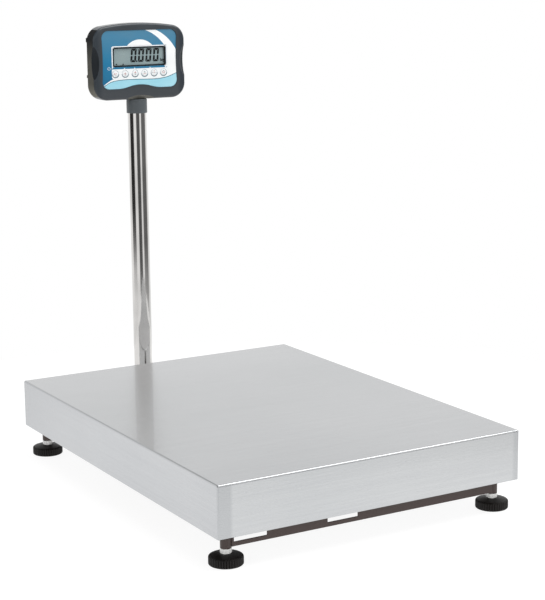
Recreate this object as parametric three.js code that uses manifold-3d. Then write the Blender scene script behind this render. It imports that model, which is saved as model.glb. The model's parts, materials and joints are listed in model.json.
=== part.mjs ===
// Platform shipping scale: a stainless pan on a load frame, one single-point load cell, a painted steel
// base on four screw feet, and an indicator on a column behind the platform.
// Millimetres, +Z up, the display faces -Y, +X is to the right of a person reading it.
import * as THREE from "three";
import { mergeVertices } from "three/addons/utils/BufferGeometryUtils.js";
import Module from "manifold-3d";

const wasm = await Module();
wasm.setup();

// Driving dimensions
const GAP = 0.3; // left between neighbouring pieces
const OVERSHOOT = 1; // how far a cutter runs past the face it cuts

const PLATFORM_WIDTH = 600;
const PLATFORM_DEPTH = 800;
const PLATFORM_TOP = 145;
const SKIRT_HEIGHT = 90;
const PAN_SHEET = 1.5;
const PAN_CORNER = 3.5;

const FOOT_X = 268;
const FOOT_Y = 366;
const PAD_RADIUS = 29;
const PAD_RIM_TOP = 13.2;
const PAD_TOP = 18.4;
const STUD_RADIUS = 5;
const STUD_TOP = 68;
const NUT_BOTTOM = 18.7;
const NUT_FLATS = 17;
const BOSS_RADIUS = 9.5;
const BOSS_BOTTOM = 27.4;

const RAIL_WIDTH = 40;
const RAIL_BOTTOM = 47.4;
const RAIL_TOP = 74.4;
const RAIL_LENGTH = 762;
const RAIL_WALL = 2;

const BEAM_FACE_Y = -375;
const BEAM_WEB = 3;
const BEAM_BOTTOM = 30;
const BEAM_NOTCH_BOTTOM = 37.5;
const BEAM_NOTCH_TOP = 62;
const BEAM_NOTCHES = [
  [-257.5, -195.5],
  [-79.8, -19.5],
];

const CELL_WIDTH = 38;
const CELL_LENGTH = 150;
const CELL_BOLT_X = 11;
const CELL_BOLT_Y = 58;
const BOLT_RADIUS = 4;
const LOAD_FRAME_X = 262;
const LOAD_FRAME_BOTTOM = 119.3;
const LOAD_FRAME_TOP = 139.2;
const SUPPORT_PAD_Y = 350;
const STOP_Y = 300;

const COLUMN_Y = 477.5;
const COLUMN_RADIUS = 19;
const COLUMN_WALL = 1.5;
const COLUMN_TOP = 671.7;
const SOCKET_TOP = 112;
const SOCKET_RADIUS = 23;
const ARM_BOTTOM = 27.1;
const ARM_TOP = 47.1;

const COLLAR_RADIUS = 21;
const COLLAR_BOTTOM = 651;
const COLLAR_TOP = 679.3;
const PIVOT_Z = 694;
const BARREL_RADIUS = 10;
const TONGUE_HALF_WIDTH = 12;
const TILT_DOWN = 2; // degrees of clearance, 2 or 3 more than the joint's range
const TILT_UP = 33;

const HEAD_WIDTH = 204;
const HEAD_BOTTOM = 680;
const HEAD_TOP = 832.6;
const HEAD_CORNER = 30;
const HEAD_CROWN = 8.6; // degrees that the top edge falls away at each shoulder
const HEAD_FRONT_Y = COLUMN_Y - 20;
const HEAD_SPLIT_Y = COLUMN_Y + 11;
const HEAD_BACK_Y = COLUMN_Y + 42;
const SHELL = 2.6;

const OVERLAY_TOP = 818.3;
const OVERLAY_BOTTOM = 702;
const OVERLAY_HALF_WIDTH = 83.3;
const OVERLAY_ARCH = 7.4;
const WINDOW = { x: 59.2, bottom: 746, top: 785 };
const KEY_XS = [-54.4, -32.8, -10.8, 10.5, 32.1, 53.2];
const KEY_Z = 732.4;
const KEY_RADIUS = 6.6;
const KEY_TRAVEL = 0.5;

// Materials
const finish = (color, roughness, metalness) => new THREE.MeshStandardMaterial({ color, roughness, metalness });
const BRUSHED_STEEL = finish(0xc8c9cb, 0.35, 1);
const POLISHED_STEEL = finish(0xd6d6d6, 0.12, 1);
const ZINC = finish(0xdddddd, 0.25, 1);
const FRAME_PAINT = finish(0x4a3f3e, 0.5, 0.1);
const ALUMINIUM = finish(0xb4b7ba, 0.4, 1);
const RUBBER = finish(0x1c1b1a, 0.8, 0);
const FOOT_PLASTIC = finish(0x171614, 0.55, 0);
const HOUSING = finish(0x4a4d52, 0.5, 0);
const OVERLAY = finish(0x4187b0, 0.35, 0);
const KEY_WHITE = finish(0xf1f2f2, 0.4, 0);
const CLEAR = finish(0xdfe8e6, 0.1, 0);
const LCD = finish(0x9aa5a5, 0.3, 0);
const BOARD = finish(0x1f5a38, 0.5, 0);
const BATTERY = finish(0x2b2d31, 0.5, 0);
const CABLE = finish(0x2a2a2b, 0.6, 0);

// Solid modelling helpers
function solid(geometry) {
  const bare = geometry.clone();
  bare.deleteAttribute("normal");
  bare.deleteAttribute("uv");
  const merged = mergeVertices(bare, 1e-4);
  const vertProperties = merged.getAttribute("position").array;
  const triVerts = new Uint32Array(merged.index.array);
  return new wasm.Manifold(new wasm.Mesh({ numProp: 3, vertProperties, triVerts }));
}

function geometryOf(shape) {
  const mesh = shape.getMesh();
  const geometry = new THREE.BufferGeometry();
  geometry.setAttribute("position", new THREE.BufferAttribute(mesh.vertProperties, 3));
  geometry.setIndex(new THREE.BufferAttribute(mesh.triVerts, 1));
  geometry.computeVertexNormals();
  return geometry;
}

const join = (first, ...others) => others.reduce((sum, other) => sum.add(other), first);
const cut = (first, ...tools) => tools.reduce((rest, tool) => rest.subtract(tool), first);

function block([x0, x1], [y0, y1], [z0, z1]) {
  const geometry = new THREE.BoxGeometry(x1 - x0, y1 - y0, z1 - z0);
  geometry.translate((x0 + x1) / 2, (y0 + y1) / 2, (z0 + z1) / 2);
  return solid(geometry);
}

function rod(axis, radius, from, to, [a, b], segments = 24) {
  const geometry = new THREE.CylinderGeometry(radius, radius, to - from, segments);
  const middle = (from + to) / 2;
  if (axis === "x") geometry.rotateZ(-Math.PI / 2).translate(middle, a, b);
  if (axis === "y") geometry.translate(a, middle, b);
  if (axis === "z") geometry.rotateX(Math.PI / 2).translate(a, b, middle);
  return solid(geometry);
}

function turned(profile, [x, y], segments = 32) {
  const points = profile.map(([radius, z]) => new THREE.Vector2(radius, z));
  const geometry = new THREE.LatheGeometry(points, segments);
  geometry.rotateX(Math.PI / 2).translate(x, y, 0);
  return solid(geometry);
}

// A shape drawn in X and Z, given thickness along Y, with a rounded edge of the given inset and depth.
function slab(shape, front, back, { inset = 0, depth = 0, steps = 3, curveSegments = 6 } = {}) {
  const geometry = new THREE.ExtrudeGeometry(shape, {
    depth: back - front - 2 * depth,
    curveSegments,
    bevelEnabled: inset > 0,
    bevelThickness: depth,
    bevelSize: inset,
    bevelOffset: -inset,
    bevelSegments: steps,
  });
  geometry.rotateX(Math.PI / 2).translate(0, back - depth, 0);
  return solid(geometry);
}

const hullOf = (points) => wasm.Manifold.hull(points);

function hexRod(axis, flats, from, to, place) {
  return rod(axis, flats / Math.sqrt(3), from, to, place, 6);
}

function hollowBar(x, y, z, wall, openAlong) {
  const inner = { x, y, z };
  for (const axis of ["x", "y", "z"]) {
    const [low, high] = inner[axis];
    inner[axis] = axis === openAlong ? [low - OVERSHOOT, high + OVERSHOOT] : [low + wall, high - wall];
  }
  return cut(block(x, y, z), block(inner.x, inner.y, inner.z));
}

const root = new THREE.Group();
function addNode(name, shape, material) {
  const mesh = new THREE.Mesh(geometryOf(shape), material);
  mesh.name = name;
  root.add(mesh);
}

const corners = (x, y) => [
  [-x, -y],
  [x, -y],
  [-x, y],
  [x, y],
];
const FOOT_PLACES = corners(FOOT_X, FOOT_Y);

// Platter: a folded pan, open below
function panShape(inset) {
  const x = PLATFORM_WIDTH / 2 - inset;
  const y = PLATFORM_DEPTH / 2 - inset;
  const r = PAN_CORNER - inset;
  const shape = new THREE.Shape();
  shape.absarc(x - r, y - r, r, 0, Math.PI / 2);
  shape.absarc(r - x, y - r, r, Math.PI / 2, Math.PI);
  shape.absarc(r - x, r - y, r, Math.PI, 1.5 * Math.PI);
  shape.absarc(x - r, r - y, r, 1.5 * Math.PI, 2 * Math.PI);
  return shape;
}

function panBlock(inset, bottom) {
  const round = PAN_CORNER - inset;
  const geometry = new THREE.ExtrudeGeometry(panShape(inset), {
    depth: SKIRT_HEIGHT,
    curveSegments: 4,
    bevelThickness: round,
    bevelSize: round - 0.1,
    bevelOffset: 0.1 - round,
    bevelSegments: 3,
  });
  const top = PLATFORM_TOP - inset;
  geometry.translate(0, 0, top - round - SKIRT_HEIGHT);
  const reach = PLATFORM_WIDTH + PLATFORM_DEPTH;
  return cut(solid(geometry), block([-reach, reach], [-reach, reach], [bottom - reach, bottom]));
}

function addPlatter() {
  const skirtBottom = PLATFORM_TOP - SKIRT_HEIGHT;
  const pan = cut(panBlock(0, skirtBottom), panBlock(PAN_SHEET, skirtBottom - OVERSHOOT));
  addNode("platter", pan, BRUSHED_STEEL);
}

// Feet: the knurled pad turns on the end of a threaded stud, and a nut locks the stud to its boss
function addFeet() {
  const nutTop = BOSS_BOTTOM - GAP;
  FOOT_PLACES.forEach((place, index) => {
    const number = index + 1;
    const pad = turned(
      [
        [0, 0],
        [PAD_RADIUS - 1, 0],
        [PAD_RADIUS, 1],
        [PAD_RADIUS, PAD_RIM_TOP],
        [PAD_RADIUS - 0.9, PAD_RIM_TOP + 1.3],
        [PAD_RADIUS - 3.2, PAD_RIM_TOP + 2.4],
        [12.5, PAD_TOP],
        [STUD_RADIUS + GAP, PAD_TOP],
        [STUD_RADIUS + GAP, 6],
        [0, 6],
      ],
      place,
    );
    addNode(`foot_pad_${number}`, pad, FOOT_PLASTIC);
    addNode(`foot_stud_${number}`, rod("z", STUD_RADIUS, 6 + GAP, STUD_TOP, place, 20), ZINC);
    const nut = cut(
      hexRod("z", NUT_FLATS, NUT_BOTTOM, nutTop, place),
      rod("z", STUD_RADIUS + GAP, NUT_BOTTOM - OVERSHOOT, nutTop + OVERSHOOT, place, 20),
    );
    addNode(`foot_lock_nut_${number}`, nut, ZINC);
  });
}

// Base frame: welded tubes, with a notched folded beam across the front
function baseRail(side) {
  const x = side * FOOT_X;
  const y = [-RAIL_LENGTH / 2, RAIL_LENGTH / 2];
  const tube = hollowBar([x - RAIL_WIDTH / 2, x + RAIL_WIDTH / 2], y, [RAIL_BOTTOM, RAIL_TOP], RAIL_WALL, "y");
  const bossTop = RAIL_BOTTOM + RAIL_WALL / 2;
  const bosses = [-FOOT_Y, FOOT_Y].map((at) => rod("z", BOSS_RADIUS, BOSS_BOTTOM, bossTop, [x, at]));
  const bores = [-FOOT_Y, FOOT_Y].map((at) =>
    rod("z", STUD_RADIUS + GAP, BOSS_BOTTOM - OVERSHOOT, RAIL_BOTTOM + 2 * RAIL_WALL, [x, at], 20),
  );
  const stopHoles = [-STOP_Y, STOP_Y].map((at) =>
    rod("z", STUD_RADIUS + GAP, RAIL_TOP - 2 * RAIL_WALL, RAIL_TOP + OVERSHOOT, [side * LOAD_FRAME_X, at], 20),
  );
  return cut(join(tube, ...bosses), ...bores, ...stopHoles);
}

function frontBeam() {
  const between = FOOT_X - RAIL_WIDTH / 2 - GAP;
  const webBack = BEAM_FACE_Y + BEAM_WEB;
  const end = FOOT_X - 6; // hollowed round the foot bosses
  const hollows = [-FOOT_X, FOOT_X].map((x) =>
    rod("z", BOSS_RADIUS + GAP, BOSS_BOTTOM - OVERSHOOT, RAIL_BOTTOM, [x, -FOOT_Y], 48),
  );
  const lower = block([-end, end], [BEAM_FACE_Y, webBack], [BEAM_BOTTOM, RAIL_BOTTOM - GAP]);
  const upper = block([-between, between], [BEAM_FACE_Y, webBack], [BEAM_BOTTOM + 5, RAIL_TOP]);
  const lip = block([-between, between], [BEAM_FACE_Y, BEAM_FACE_Y + 8], [BEAM_BOTTOM, BEAM_BOTTOM + BEAM_WEB]);
  const flange = block([-between, between], [BEAM_FACE_Y, BEAM_FACE_Y + 25], [RAIL_TOP - BEAM_WEB, RAIL_TOP]);
  const notches = BEAM_NOTCHES.map((x) =>
    block(x, [BEAM_FACE_Y - OVERSHOOT, webBack + OVERSHOOT], [BEAM_NOTCH_BOTTOM, BEAM_NOTCH_TOP]),
  );
  return cut(join(cut(lower, ...hollows), upper, lip, flange), ...notches);
}

const REAR_BEAM_Y = [360, 385];
const CROSS_BEAM_Y = [CELL_BOLT_Y - 20, CELL_BOLT_Y + 20];
const CABLE_SLOT = 7; // half width of the slots that let the cable through a wall
const cableSlot = (y, z) => block([-CABLE_SLOT, CABLE_SLOT], y, z);

function addBaseFrame() {
  const between = [-FOOT_X + RAIL_WIDTH / 2 + GAP, FOOT_X - RAIL_WIDTH / 2 - GAP];
  const height = [RAIL_BOTTOM, RAIL_TOP];
  addNode("base_left_rail", baseRail(-1), FRAME_PAINT);
  addNode("base_right_rail", baseRail(1), FRAME_PAINT);
  addNode("base_front_beam", frontBeam(), FRAME_PAINT);
  addNode("base_rear_beam", hollowBar(between, REAR_BEAM_Y, height, RAIL_WALL, "x"), FRAME_PAINT);
  const boltHoles = [-CELL_BOLT_X, CELL_BOLT_X].map((x) =>
    rod("z", BOLT_RADIUS + GAP, RAIL_BOTTOM - OVERSHOOT, RAIL_TOP + OVERSHOOT, [x, CELL_BOLT_Y], 16),
  );
  const crossBeam = cut(hollowBar(between, CROSS_BEAM_Y, height, RAIL_WALL, "x"), ...boltHoles);
  addNode("base_cross_beam", crossBeam, FRAME_PAINT);
  const spine = cut(
    hollowBar([-20, 20], [CROSS_BEAM_Y[1] + GAP, REAR_BEAM_Y[0] - GAP], height, RAIL_WALL, "y"),
    cableSlot([96, 132], [RAIL_TOP - 2 * RAIL_WALL, RAIL_TOP + OVERSHOOT]),
    cableSlot([318, 356], [RAIL_BOTTOM - OVERSHOOT, RAIL_BOTTOM + 2 * RAIL_WALL]),
  );
  addNode("base_centre_beam", spine, FRAME_PAINT);
}

// Load cell: a bar thinned by two bores and the slot between them, bolted to the base at its rear end and
// to the load frame at its front end
const CELL_BOTTOM = 80.3;
const CELL_TOP = 113.7;

function addLoadCell() {
  const half = CELL_WIDTH / 2;
  const middle = (CELL_BOTTOM + CELL_TOP) / 2;
  const through = [-half - OVERSHOOT, half + OVERSHOOT];
  const bores = [-16, 16].map((y) => rod("x", 11, ...through, [y, middle]));
  const slot = block(through, [-16, 16], [middle - 4, middle + 4]);
  const tapped = [-CELL_BOLT_X, CELL_BOLT_X].flatMap((x) => [
    rod("z", BOLT_RADIUS + GAP, CELL_BOTTOM - OVERSHOOT, 97, [x, CELL_BOLT_Y], 16),
    rod("z", BOLT_RADIUS + GAP, 96, CELL_TOP + OVERSHOOT, [x, -CELL_BOLT_Y], 16),
  ]);
  const bar = block([-half, half], [-CELL_LENGTH / 2, CELL_LENGTH / 2], [CELL_BOTTOM, CELL_TOP]);
  addNode("load_cell", cut(bar, ...bores, slot, ...tapped), ALUMINIUM);
}

function spacer(y, bottom, top) {
  const half = CELL_WIDTH / 2;
  const holes = [-CELL_BOLT_X, CELL_BOLT_X].map((x) =>
    rod("z", BOLT_RADIUS + GAP, bottom - OVERSHOOT, top + OVERSHOOT, [x, y], 16),
  );
  return cut(block([-half, half], [y - 17, y + 17], [bottom, top]), ...holes);
}

function addLoadCellMounts() {
  const plateTop = LOAD_FRAME_BOTTOM + 8;
  addNode("load_cell_lower_spacer", spacer(CELL_BOLT_Y, RAIL_TOP + GAP, CELL_BOTTOM - GAP), ALUMINIUM);
  addNode("load_cell_upper_spacer", spacer(-CELL_BOLT_Y, CELL_TOP + GAP, LOAD_FRAME_BOTTOM - GAP), ALUMINIUM);
  [-CELL_BOLT_X, CELL_BOLT_X].forEach((x, index) => {
    const headTop = RAIL_BOTTOM - GAP;
    const lower = join(
      rod("z", 6.5, headTop - 8, headTop, [x, CELL_BOLT_Y], 20),
      rod("z", BOLT_RADIUS, headTop - 2, 96, [x, CELL_BOLT_Y], 16),
    );
    const upper = join(
      rod("z", 6.5, plateTop + GAP, plateTop + GAP + 8, [x, -CELL_BOLT_Y], 20),
      rod("z", BOLT_RADIUS, 98, plateTop + 2, [x, -CELL_BOLT_Y], 16),
    );
    addNode(`load_cell_lower_bolt_${index + 1}`, lower, ZINC);
    addNode(`load_cell_upper_bolt_${index + 1}`, upper, ZINC);
  });
}

// Load frame: two rails and a plate that hang on the front end of the cell and carry the platter
function addLoadFrame() {
  const height = [LOAD_FRAME_BOTTOM, LOAD_FRAME_TOP];
  for (const [name, x] of [
    ["load_frame_left_rail", -LOAD_FRAME_X],
    ["load_frame_right_rail", LOAD_FRAME_X],
  ]) {
    addNode(name, hollowBar([x - 15, x + 15], [-375, 375], height, RAIL_WALL, "y"), FRAME_PAINT);
  }
  const end = LOAD_FRAME_X - 15 - GAP;
  const plateTop = LOAD_FRAME_BOTTOM + 8;
  const holes = [-CELL_BOLT_X, CELL_BOLT_X].map((x) =>
    rod("z", BOLT_RADIUS + GAP, LOAD_FRAME_BOTTOM - OVERSHOOT, plateTop + OVERSHOOT, [x, -CELL_BOLT_Y], 16),
  );
  const plate = block([-end, end], [-CELL_BOLT_Y - 30, -CELL_BOLT_Y + 30], [LOAD_FRAME_BOTTOM, plateTop]);
  addNode("load_frame_cross_plate", cut(plate, ...holes), FRAME_PAINT);
  const padTop = PLATFORM_TOP - PAN_SHEET - GAP;
  corners(LOAD_FRAME_X, SUPPORT_PAD_Y).forEach((place, index) => {
    addNode(`platter_support_pad_${index + 1}`, rod("z", 12, LOAD_FRAME_TOP + GAP, padTop, place), RUBBER);
  });
}

function addOverloadStops() {
  const headBottom = 110;
  const headTop = LOAD_FRAME_BOTTOM - 1.3;
  corners(LOAD_FRAME_X, STOP_Y).forEach((place, index) => {
    const stop = join(
      hexRod("z", NUT_FLATS, headBottom, headTop, place),
      rod("z", STUD_RADIUS, 62, headBottom + 2, place, 16),
    );
    addNode(`overload_stop_${index + 1}`, stop, ZINC);
  });
}

// Column: an arm under the rear beam carries a socket, and two bolts clamp the tube in it
function addColumn() {
  const axis = [0, COLUMN_Y];
  const arm = cut(
    hollowBar([-30, 30], [318, 505], [ARM_BOTTOM, ARM_TOP], 2.5, "y"),
    cableSlot([325, 372], [ARM_TOP - 5, ARM_TOP + OVERSHOOT]),
  );
  const clampHeights = [70, 98];
  const outside = rod("z", SOCKET_RADIUS, ARM_TOP - 1, SOCKET_TOP, axis, 32);
  const bore = rod("z", COLUMN_RADIUS + GAP, ARM_TOP, SOCKET_TOP + OVERSHOOT, axis, 32);
  const cableHole = rod("z", 12, ARM_TOP - 5, ARM_TOP + OVERSHOOT, axis);
  const boltHoles = clampHeights.map((z) => rod("y", BOLT_RADIUS, COLUMN_Y + 10, COLUMN_Y + 30, [0, z], 16));
  addNode("column_bracket", cut(join(arm, outside), bore, cableHole, ...boltHoles), FRAME_PAINT);
  clampHeights.forEach((z, index) => {
    const seat = COLUMN_Y + SOCKET_RADIUS + GAP;
    const shank = rod("y", BOLT_RADIUS - GAP, COLUMN_Y + COLUMN_RADIUS + GAP, seat + 1, [0, z], 16);
    addNode(`column_clamp_bolt_${index + 1}`, join(hexRod("y", 13, seat, seat + 5.3, [0, z]), shank), ZINC);
  });
  const tube = cut(
    rod("z", COLUMN_RADIUS, ARM_TOP + GAP, COLUMN_TOP, axis, 36),
    rod("z", COLUMN_RADIUS - COLUMN_WALL, ARM_TOP - OVERSHOOT, COLUMN_TOP + OVERSHOOT, axis, 36),
  );
  addNode("column_tube", tube, POLISHED_STEEL);
}

function addSpiritLevel() {
  const foot = ARM_TOP + GAP;
  const level = turned(
    [
      [0, foot],
      [9, foot],
      [9, foot + 8],
      [7, foot + 8],
      [7, foot + 7],
      [0, foot + 7],
    ],
    [0, 430],
    24,
  );
  addNode("spirit_level", level, ALUMINIUM);
}

// The cable leaves the rear end of the cell, runs inside the centre beam and the arm, and climbs the column
function addLoadCellCable() {
  const cableRadius = 2.5;
  const route = [
    [0, CELL_LENGTH / 2 + GAP, 97],
    [0, 90, 96],
    [0, 103, 87],
    [0, 114, 70],
    [0, 132, 61],
    [0, 170, 60],
    [0, 240, 60],
    [0, 300, 60],
    [0, 322, 56],
    [0, 340, 44],
    [0, 362, 37],
    [0, 400, 37],
    [0, 450, 37],
    [0, 469, 42],
    [0, COLUMN_Y, 62],
    [0, COLUMN_Y, 100],
    [0, COLUMN_Y, 240],
    [0, COLUMN_Y, 440],
    [0, COLUMN_Y, 600],
    [0, COLUMN_Y, COLUMN_TOP - 4],
  ];
  const extrudePath = new THREE.CatmullRomCurve3(route.map((point) => new THREE.Vector3(...point)));
  const section = new THREE.Shape().absarc(0, 0, cableRadius, 0, 2 * Math.PI);
  const outline = new THREE.Shape(section.getPoints(4).slice(0, -1));
  const geometry = new THREE.ExtrudeGeometry(outline, { steps: 64, extrudePath, bevelEnabled: false });
  addNode("load_cell_cable", solid(geometry), CABLE);
}

// Neck: a sleeve that turns on the column, with a tongue and barrel for the tilt pin on top
function addNeck() {
  const axis = [0, COLUMN_Y];
  const tongueBottom = COLLAR_TOP - 1;
  const tongue = block(
    [-TONGUE_HALF_WIDTH, TONGUE_HALF_WIDTH],
    [COLUMN_Y - BARREL_RADIUS, COLUMN_Y + BARREL_RADIUS],
    [tongueBottom, PIVOT_Z],
  );
  const barrel = rod("x", BARREL_RADIUS, -TONGUE_HALF_WIDTH, TONGUE_HALF_WIDTH, [COLUMN_Y, PIVOT_Z], 32);
  const collar = cut(
    join(rod("z", COLLAR_RADIUS, COLLAR_BOTTOM, COLLAR_TOP, axis, 36), tongue, barrel),
    rod("z", COLUMN_RADIUS + GAP, COLLAR_BOTTOM - OVERSHOOT, COLUMN_TOP + GAP, axis, 36),
    rod("z", 3.5, COLUMN_TOP - OVERSHOOT, COLLAR_TOP + OVERSHOOT, [0, COLUMN_Y + 15], 16),
    rod("x", 3 + GAP, -20, 20, [COLUMN_Y, PIVOT_Z], 20),
  );
  addNode("neck_collar", collar, HOUSING);
  const pin = join(
    rod("x", 3, -22, 20, [COLUMN_Y, PIVOT_Z], 20),
    rod("x", 5, 19.8, 22.8, [COLUMN_Y, PIVOT_Z], 20),
  );
  addNode("tilt_pin", pin, ZINC);
}

// The space that the neck sweeps, as seen from the tilting head
function neckSweep() {
  const room = 0.8;
  const reach = TONGUE_HALF_WIDTH + room;
  const rest = join(
    rod("z", COLLAR_RADIUS + room, 600, COLLAR_TOP + room, [0, COLUMN_Y], 36),
    block([-reach, reach], [COLUMN_Y - BARREL_RADIUS - room, COLUMN_Y + BARREL_RADIUS + room], [650, PIVOT_Z]),
    rod("x", BARREL_RADIUS + room, -reach, reach, [COLUMN_Y, PIVOT_Z], 32),
  ).translate([0, -COLUMN_Y, -PIVOT_Z]);
  const turns = 9;
  let sweep = rest;
  for (let turn = 0; turn <= turns; turn++) {
    const angle = -TILT_DOWN + ((TILT_UP + TILT_DOWN) * turn) / turns;
    sweep = sweep.add(rest.rotate([angle, 0, 0]));
  }
  return sweep.translate([0, COLUMN_Y, PIVOT_Z]);
}

// Indicator outline: round corners and a gently crowned top, drawn in X and Z
function headShape(inset) {
  const crown = THREE.MathUtils.degToRad(HEAD_CROWN);
  const side = HEAD_WIDTH / 2 - HEAD_CORNER;
  const crownRadius = HEAD_CORNER + side / Math.sin(crown);
  const crownCentre = HEAD_TOP - crownRadius;
  const shoulder = crownCentre + (crownRadius - HEAD_CORNER) * Math.cos(crown);
  const low = HEAD_BOTTOM + HEAD_CORNER;
  const radius = HEAD_CORNER - inset;
  const shape = new THREE.Shape();
  shape.absarc(side, low, radius, -Math.PI / 2, 0);
  shape.absarc(side, shoulder, radius, 0, Math.PI / 2 - crown);
  shape.absarc(0, crownCentre, crownRadius - inset, Math.PI / 2 - crown, Math.PI / 2 + crown);
  shape.absarc(-side, shoulder, radius, Math.PI / 2 + crown, Math.PI);
  shape.absarc(-side, low, radius, Math.PI, 1.5 * Math.PI);
  return shape;
}

// A convex solid through head outlines, each given by its inset and how far it is behind the face
function headLoft(rows) {
  const points = rows.flatMap(([inset, depth]) =>
    headShape(inset)
      .getPoints(6)
      .map((point) => [point.x, HEAD_FRONT_Y + depth, point.y]),
  );
  return hullOf(points);
}

// Overlay outline: round corners, slightly drawn-in sides, and an arch in the lower edge
function overlayShape(inset) {
  const x = OVERLAY_HALF_WIDTH - inset;
  const top = OVERLAY_TOP - inset;
  const bottom = OVERLAY_BOTTOM + inset;
  const radius = 15;
  const waist = 3;
  const middle = (top + bottom) / 2;
  const archTop = bottom + OVERLAY_ARCH;
  const shape = new THREE.Shape();
  shape.moveTo(-50, bottom);
  shape.bezierCurveTo(-28, bottom, -22, archTop, 0, archTop);
  shape.bezierCurveTo(22, archTop, 28, bottom, 50, bottom);
  shape.absarc(x - radius, bottom + radius, radius, -Math.PI / 2, 0);
  shape.quadraticCurveTo(x - waist, middle, x, top - radius);
  shape.absarc(x - radius, top - radius, radius, 0, Math.PI / 2);
  shape.absarc(radius - x, top - radius, radius, Math.PI / 2, Math.PI);
  shape.quadraticCurveTo(waist - x, middle, -x, bottom + radius);
  shape.absarc(radius - x, bottom + radius, radius, Math.PI, 1.5 * Math.PI);
  return shape;
}

// The finger scoop in the front edge of each side, thickened by the shell when it bounds the cavity
function sideScoop(side, thicken) {
  const geometry = new THREE.SphereGeometry(1, 20, 12);
  geometry.scale(24.5 + thicken, 22.5 + thicken, 44 + thicken);
  geometry.translate(side * (HEAD_WIDTH / 2 + 10), HEAD_FRONT_Y - 10, 755);
  return solid(geometry);
}

// The sloping arch under the bezel, where the collar shows
function archRelief(thicken) {
  const halfWidth = 36.5;
  const rise = 4.8 + thicken;
  const radius = (halfWidth * halfWidth + rise * rise) / (2 * rise);
  const spread = Math.asin(halfWidth / radius);
  const shape = new THREE.Shape();
  shape.moveTo(-halfWidth, -20);
  shape.lineTo(halfWidth, -20);
  shape.absarc(0, rise - radius, radius, Math.PI / 2 - spread, Math.PI / 2 + spread);
  const geometry = new THREE.ExtrudeGeometry(shape, { depth: 40, curveSegments: 8, bevelEnabled: false });
  geometry.rotateX(Math.PI / 2).translate(0, 20, 0);
  geometry.rotateX(THREE.MathUtils.degToRad(-55));
  geometry.translate(0, HEAD_FRONT_Y, HEAD_BOTTOM);
  return solid(geometry);
}

const keyHoles = (radius, from, to) => KEY_XS.map((x) => rod("y", radius, from, to, [x, KEY_Z], 20));
const windowBlock = (inset, front, back) =>
  block([inset - WINDOW.x, WINDOW.x - inset], [front, back], [WINDOW.bottom + inset, WINDOW.top - inset]);

function addFrontBezel(sweep) {
  const front = HEAD_FRONT_Y;
  const trim = block([-200, 200], [HEAD_SPLIT_Y, HEAD_BACK_Y + 50], [600, 900]);
  const outside = cut(slab(headShape(0), front, HEAD_SPLIT_Y + 20, { inset: 4.5, depth: 4.5 }), trim);
  const recess = slab(overlayShape(-GAP), front - OVERSHOOT, front + 2.3);
  const wallBack = front + 5;
  const cavity = cut(
    slab(headShape(SHELL), wallBack, HEAD_SPLIT_Y + OVERSHOOT),
    sideScoop(-1, SHELL),
    sideScoop(1, SHELL),
    archRelief(SHELL),
  );
  const standoffs = corners(66, 33).map(([x, z]) => rod("y", 3.5, wallBack - 1, front + 8.7, [x, 761 + z], 16));
  const bezel = cut(
    join(cut(outside, recess, cavity), ...standoffs),
    sideScoop(-1, 0),
    sideScoop(1, 0),
    archRelief(0),
    windowBlock(-GAP, front, wallBack + OVERSHOOT),
    ...keyHoles(KEY_RADIUS + GAP, front, wallBack + OVERSHOOT),
    sweep,
  );
  addNode("front_bezel", bezel, HOUSING);
}

const COVER = { x: 55, bottom: 732, top: 792 };
const INLET = { x: 62, z: 716, radius: 5.5 };
const HEAD_DEPTH = HEAD_BACK_Y - HEAD_FRONT_Y;
const SPLIT_DEPTH = HEAD_SPLIT_Y - HEAD_FRONT_Y + GAP;
// The rear housing draws in from the split at 27 degrees and rounds over into a flat back
const REAR_OUTSIDE = [
  [0, SPLIT_DEPTH],
  [6.5, 44],
  [9.3, 49.2],
  [13, 54.3],
  [17.3, 58.5],
  [22, 61.2],
  [26, HEAD_DEPTH],
];
const REAR_INSIDE = [
  [1, SPLIT_DEPTH - 3.3],
  [9.2, 43.3],
  [11.8, 47.6],
  [15.2, 52.1],
  [19, 55.7],
  [23, 58.2],
  [26.5, HEAD_DEPTH - SHELL],
];

// Each side of the neck, a lug that the tilt pin passes through, grown from the lower wall
function tiltLug(side) {
  const profile = [
    [11, PIVOT_Z - 9],
    [36, PIVOT_Z - 9],
    [47, PIVOT_Z - 4.5],
    [56, PIVOT_Z + 3],
    [59, PIVOT_Z + 10],
    [11, PIVOT_Z + 10],
  ];
  const points = profile.flatMap(([depth, z]) => [
    [side * 13.5, HEAD_FRONT_Y + depth, z],
    [side * 19.5, HEAD_FRONT_Y + depth, z],
  ]);
  return hullOf(points);
}

function addRearHousing(sweep) {
  const back = HEAD_BACK_Y;
  const outside = headLoft(REAR_OUTSIDE);
  const cavity = headLoft(REAR_INSIDE);
  const lugs = [-1, 1].map(tiltLug);
  const catches = [-1, 1].flatMap((side) => {
    const x = [side * 97, side * 101.8].sort((a, b) => a - b);
    const y = [HEAD_FRONT_Y + 32.5, HEAD_FRONT_Y + 36];
    return [block(x, y, [724.5, 730.5]), block(x, y, [795.5, 804.5])];
  });
  const coverHole = block([-COVER.x, COVER.x], [back - 5, back + OVERSHOOT], [COVER.bottom, COVER.top]);
  const inletHole = rod("y", INLET.radius + GAP, back - 5, back + OVERSHOOT, [INLET.x, INLET.z]);
  const pinBore = rod("x", 3 + GAP, -30, 30, [COLUMN_Y, PIVOT_Z], 20);
  const shell = join(cut(outside, cavity), ...lugs, ...catches);
  const housing = cut(shell, sweep, coverHole, inletHole, pinBore);
  addNode("rear_housing", housing, HOUSING);
  const cover = block(
    [GAP - COVER.x, COVER.x - GAP],
    [back - SHELL, back],
    [COVER.bottom + GAP, COVER.top - GAP],
  );
  addNode("battery_cover", cover, HOUSING);
}

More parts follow.
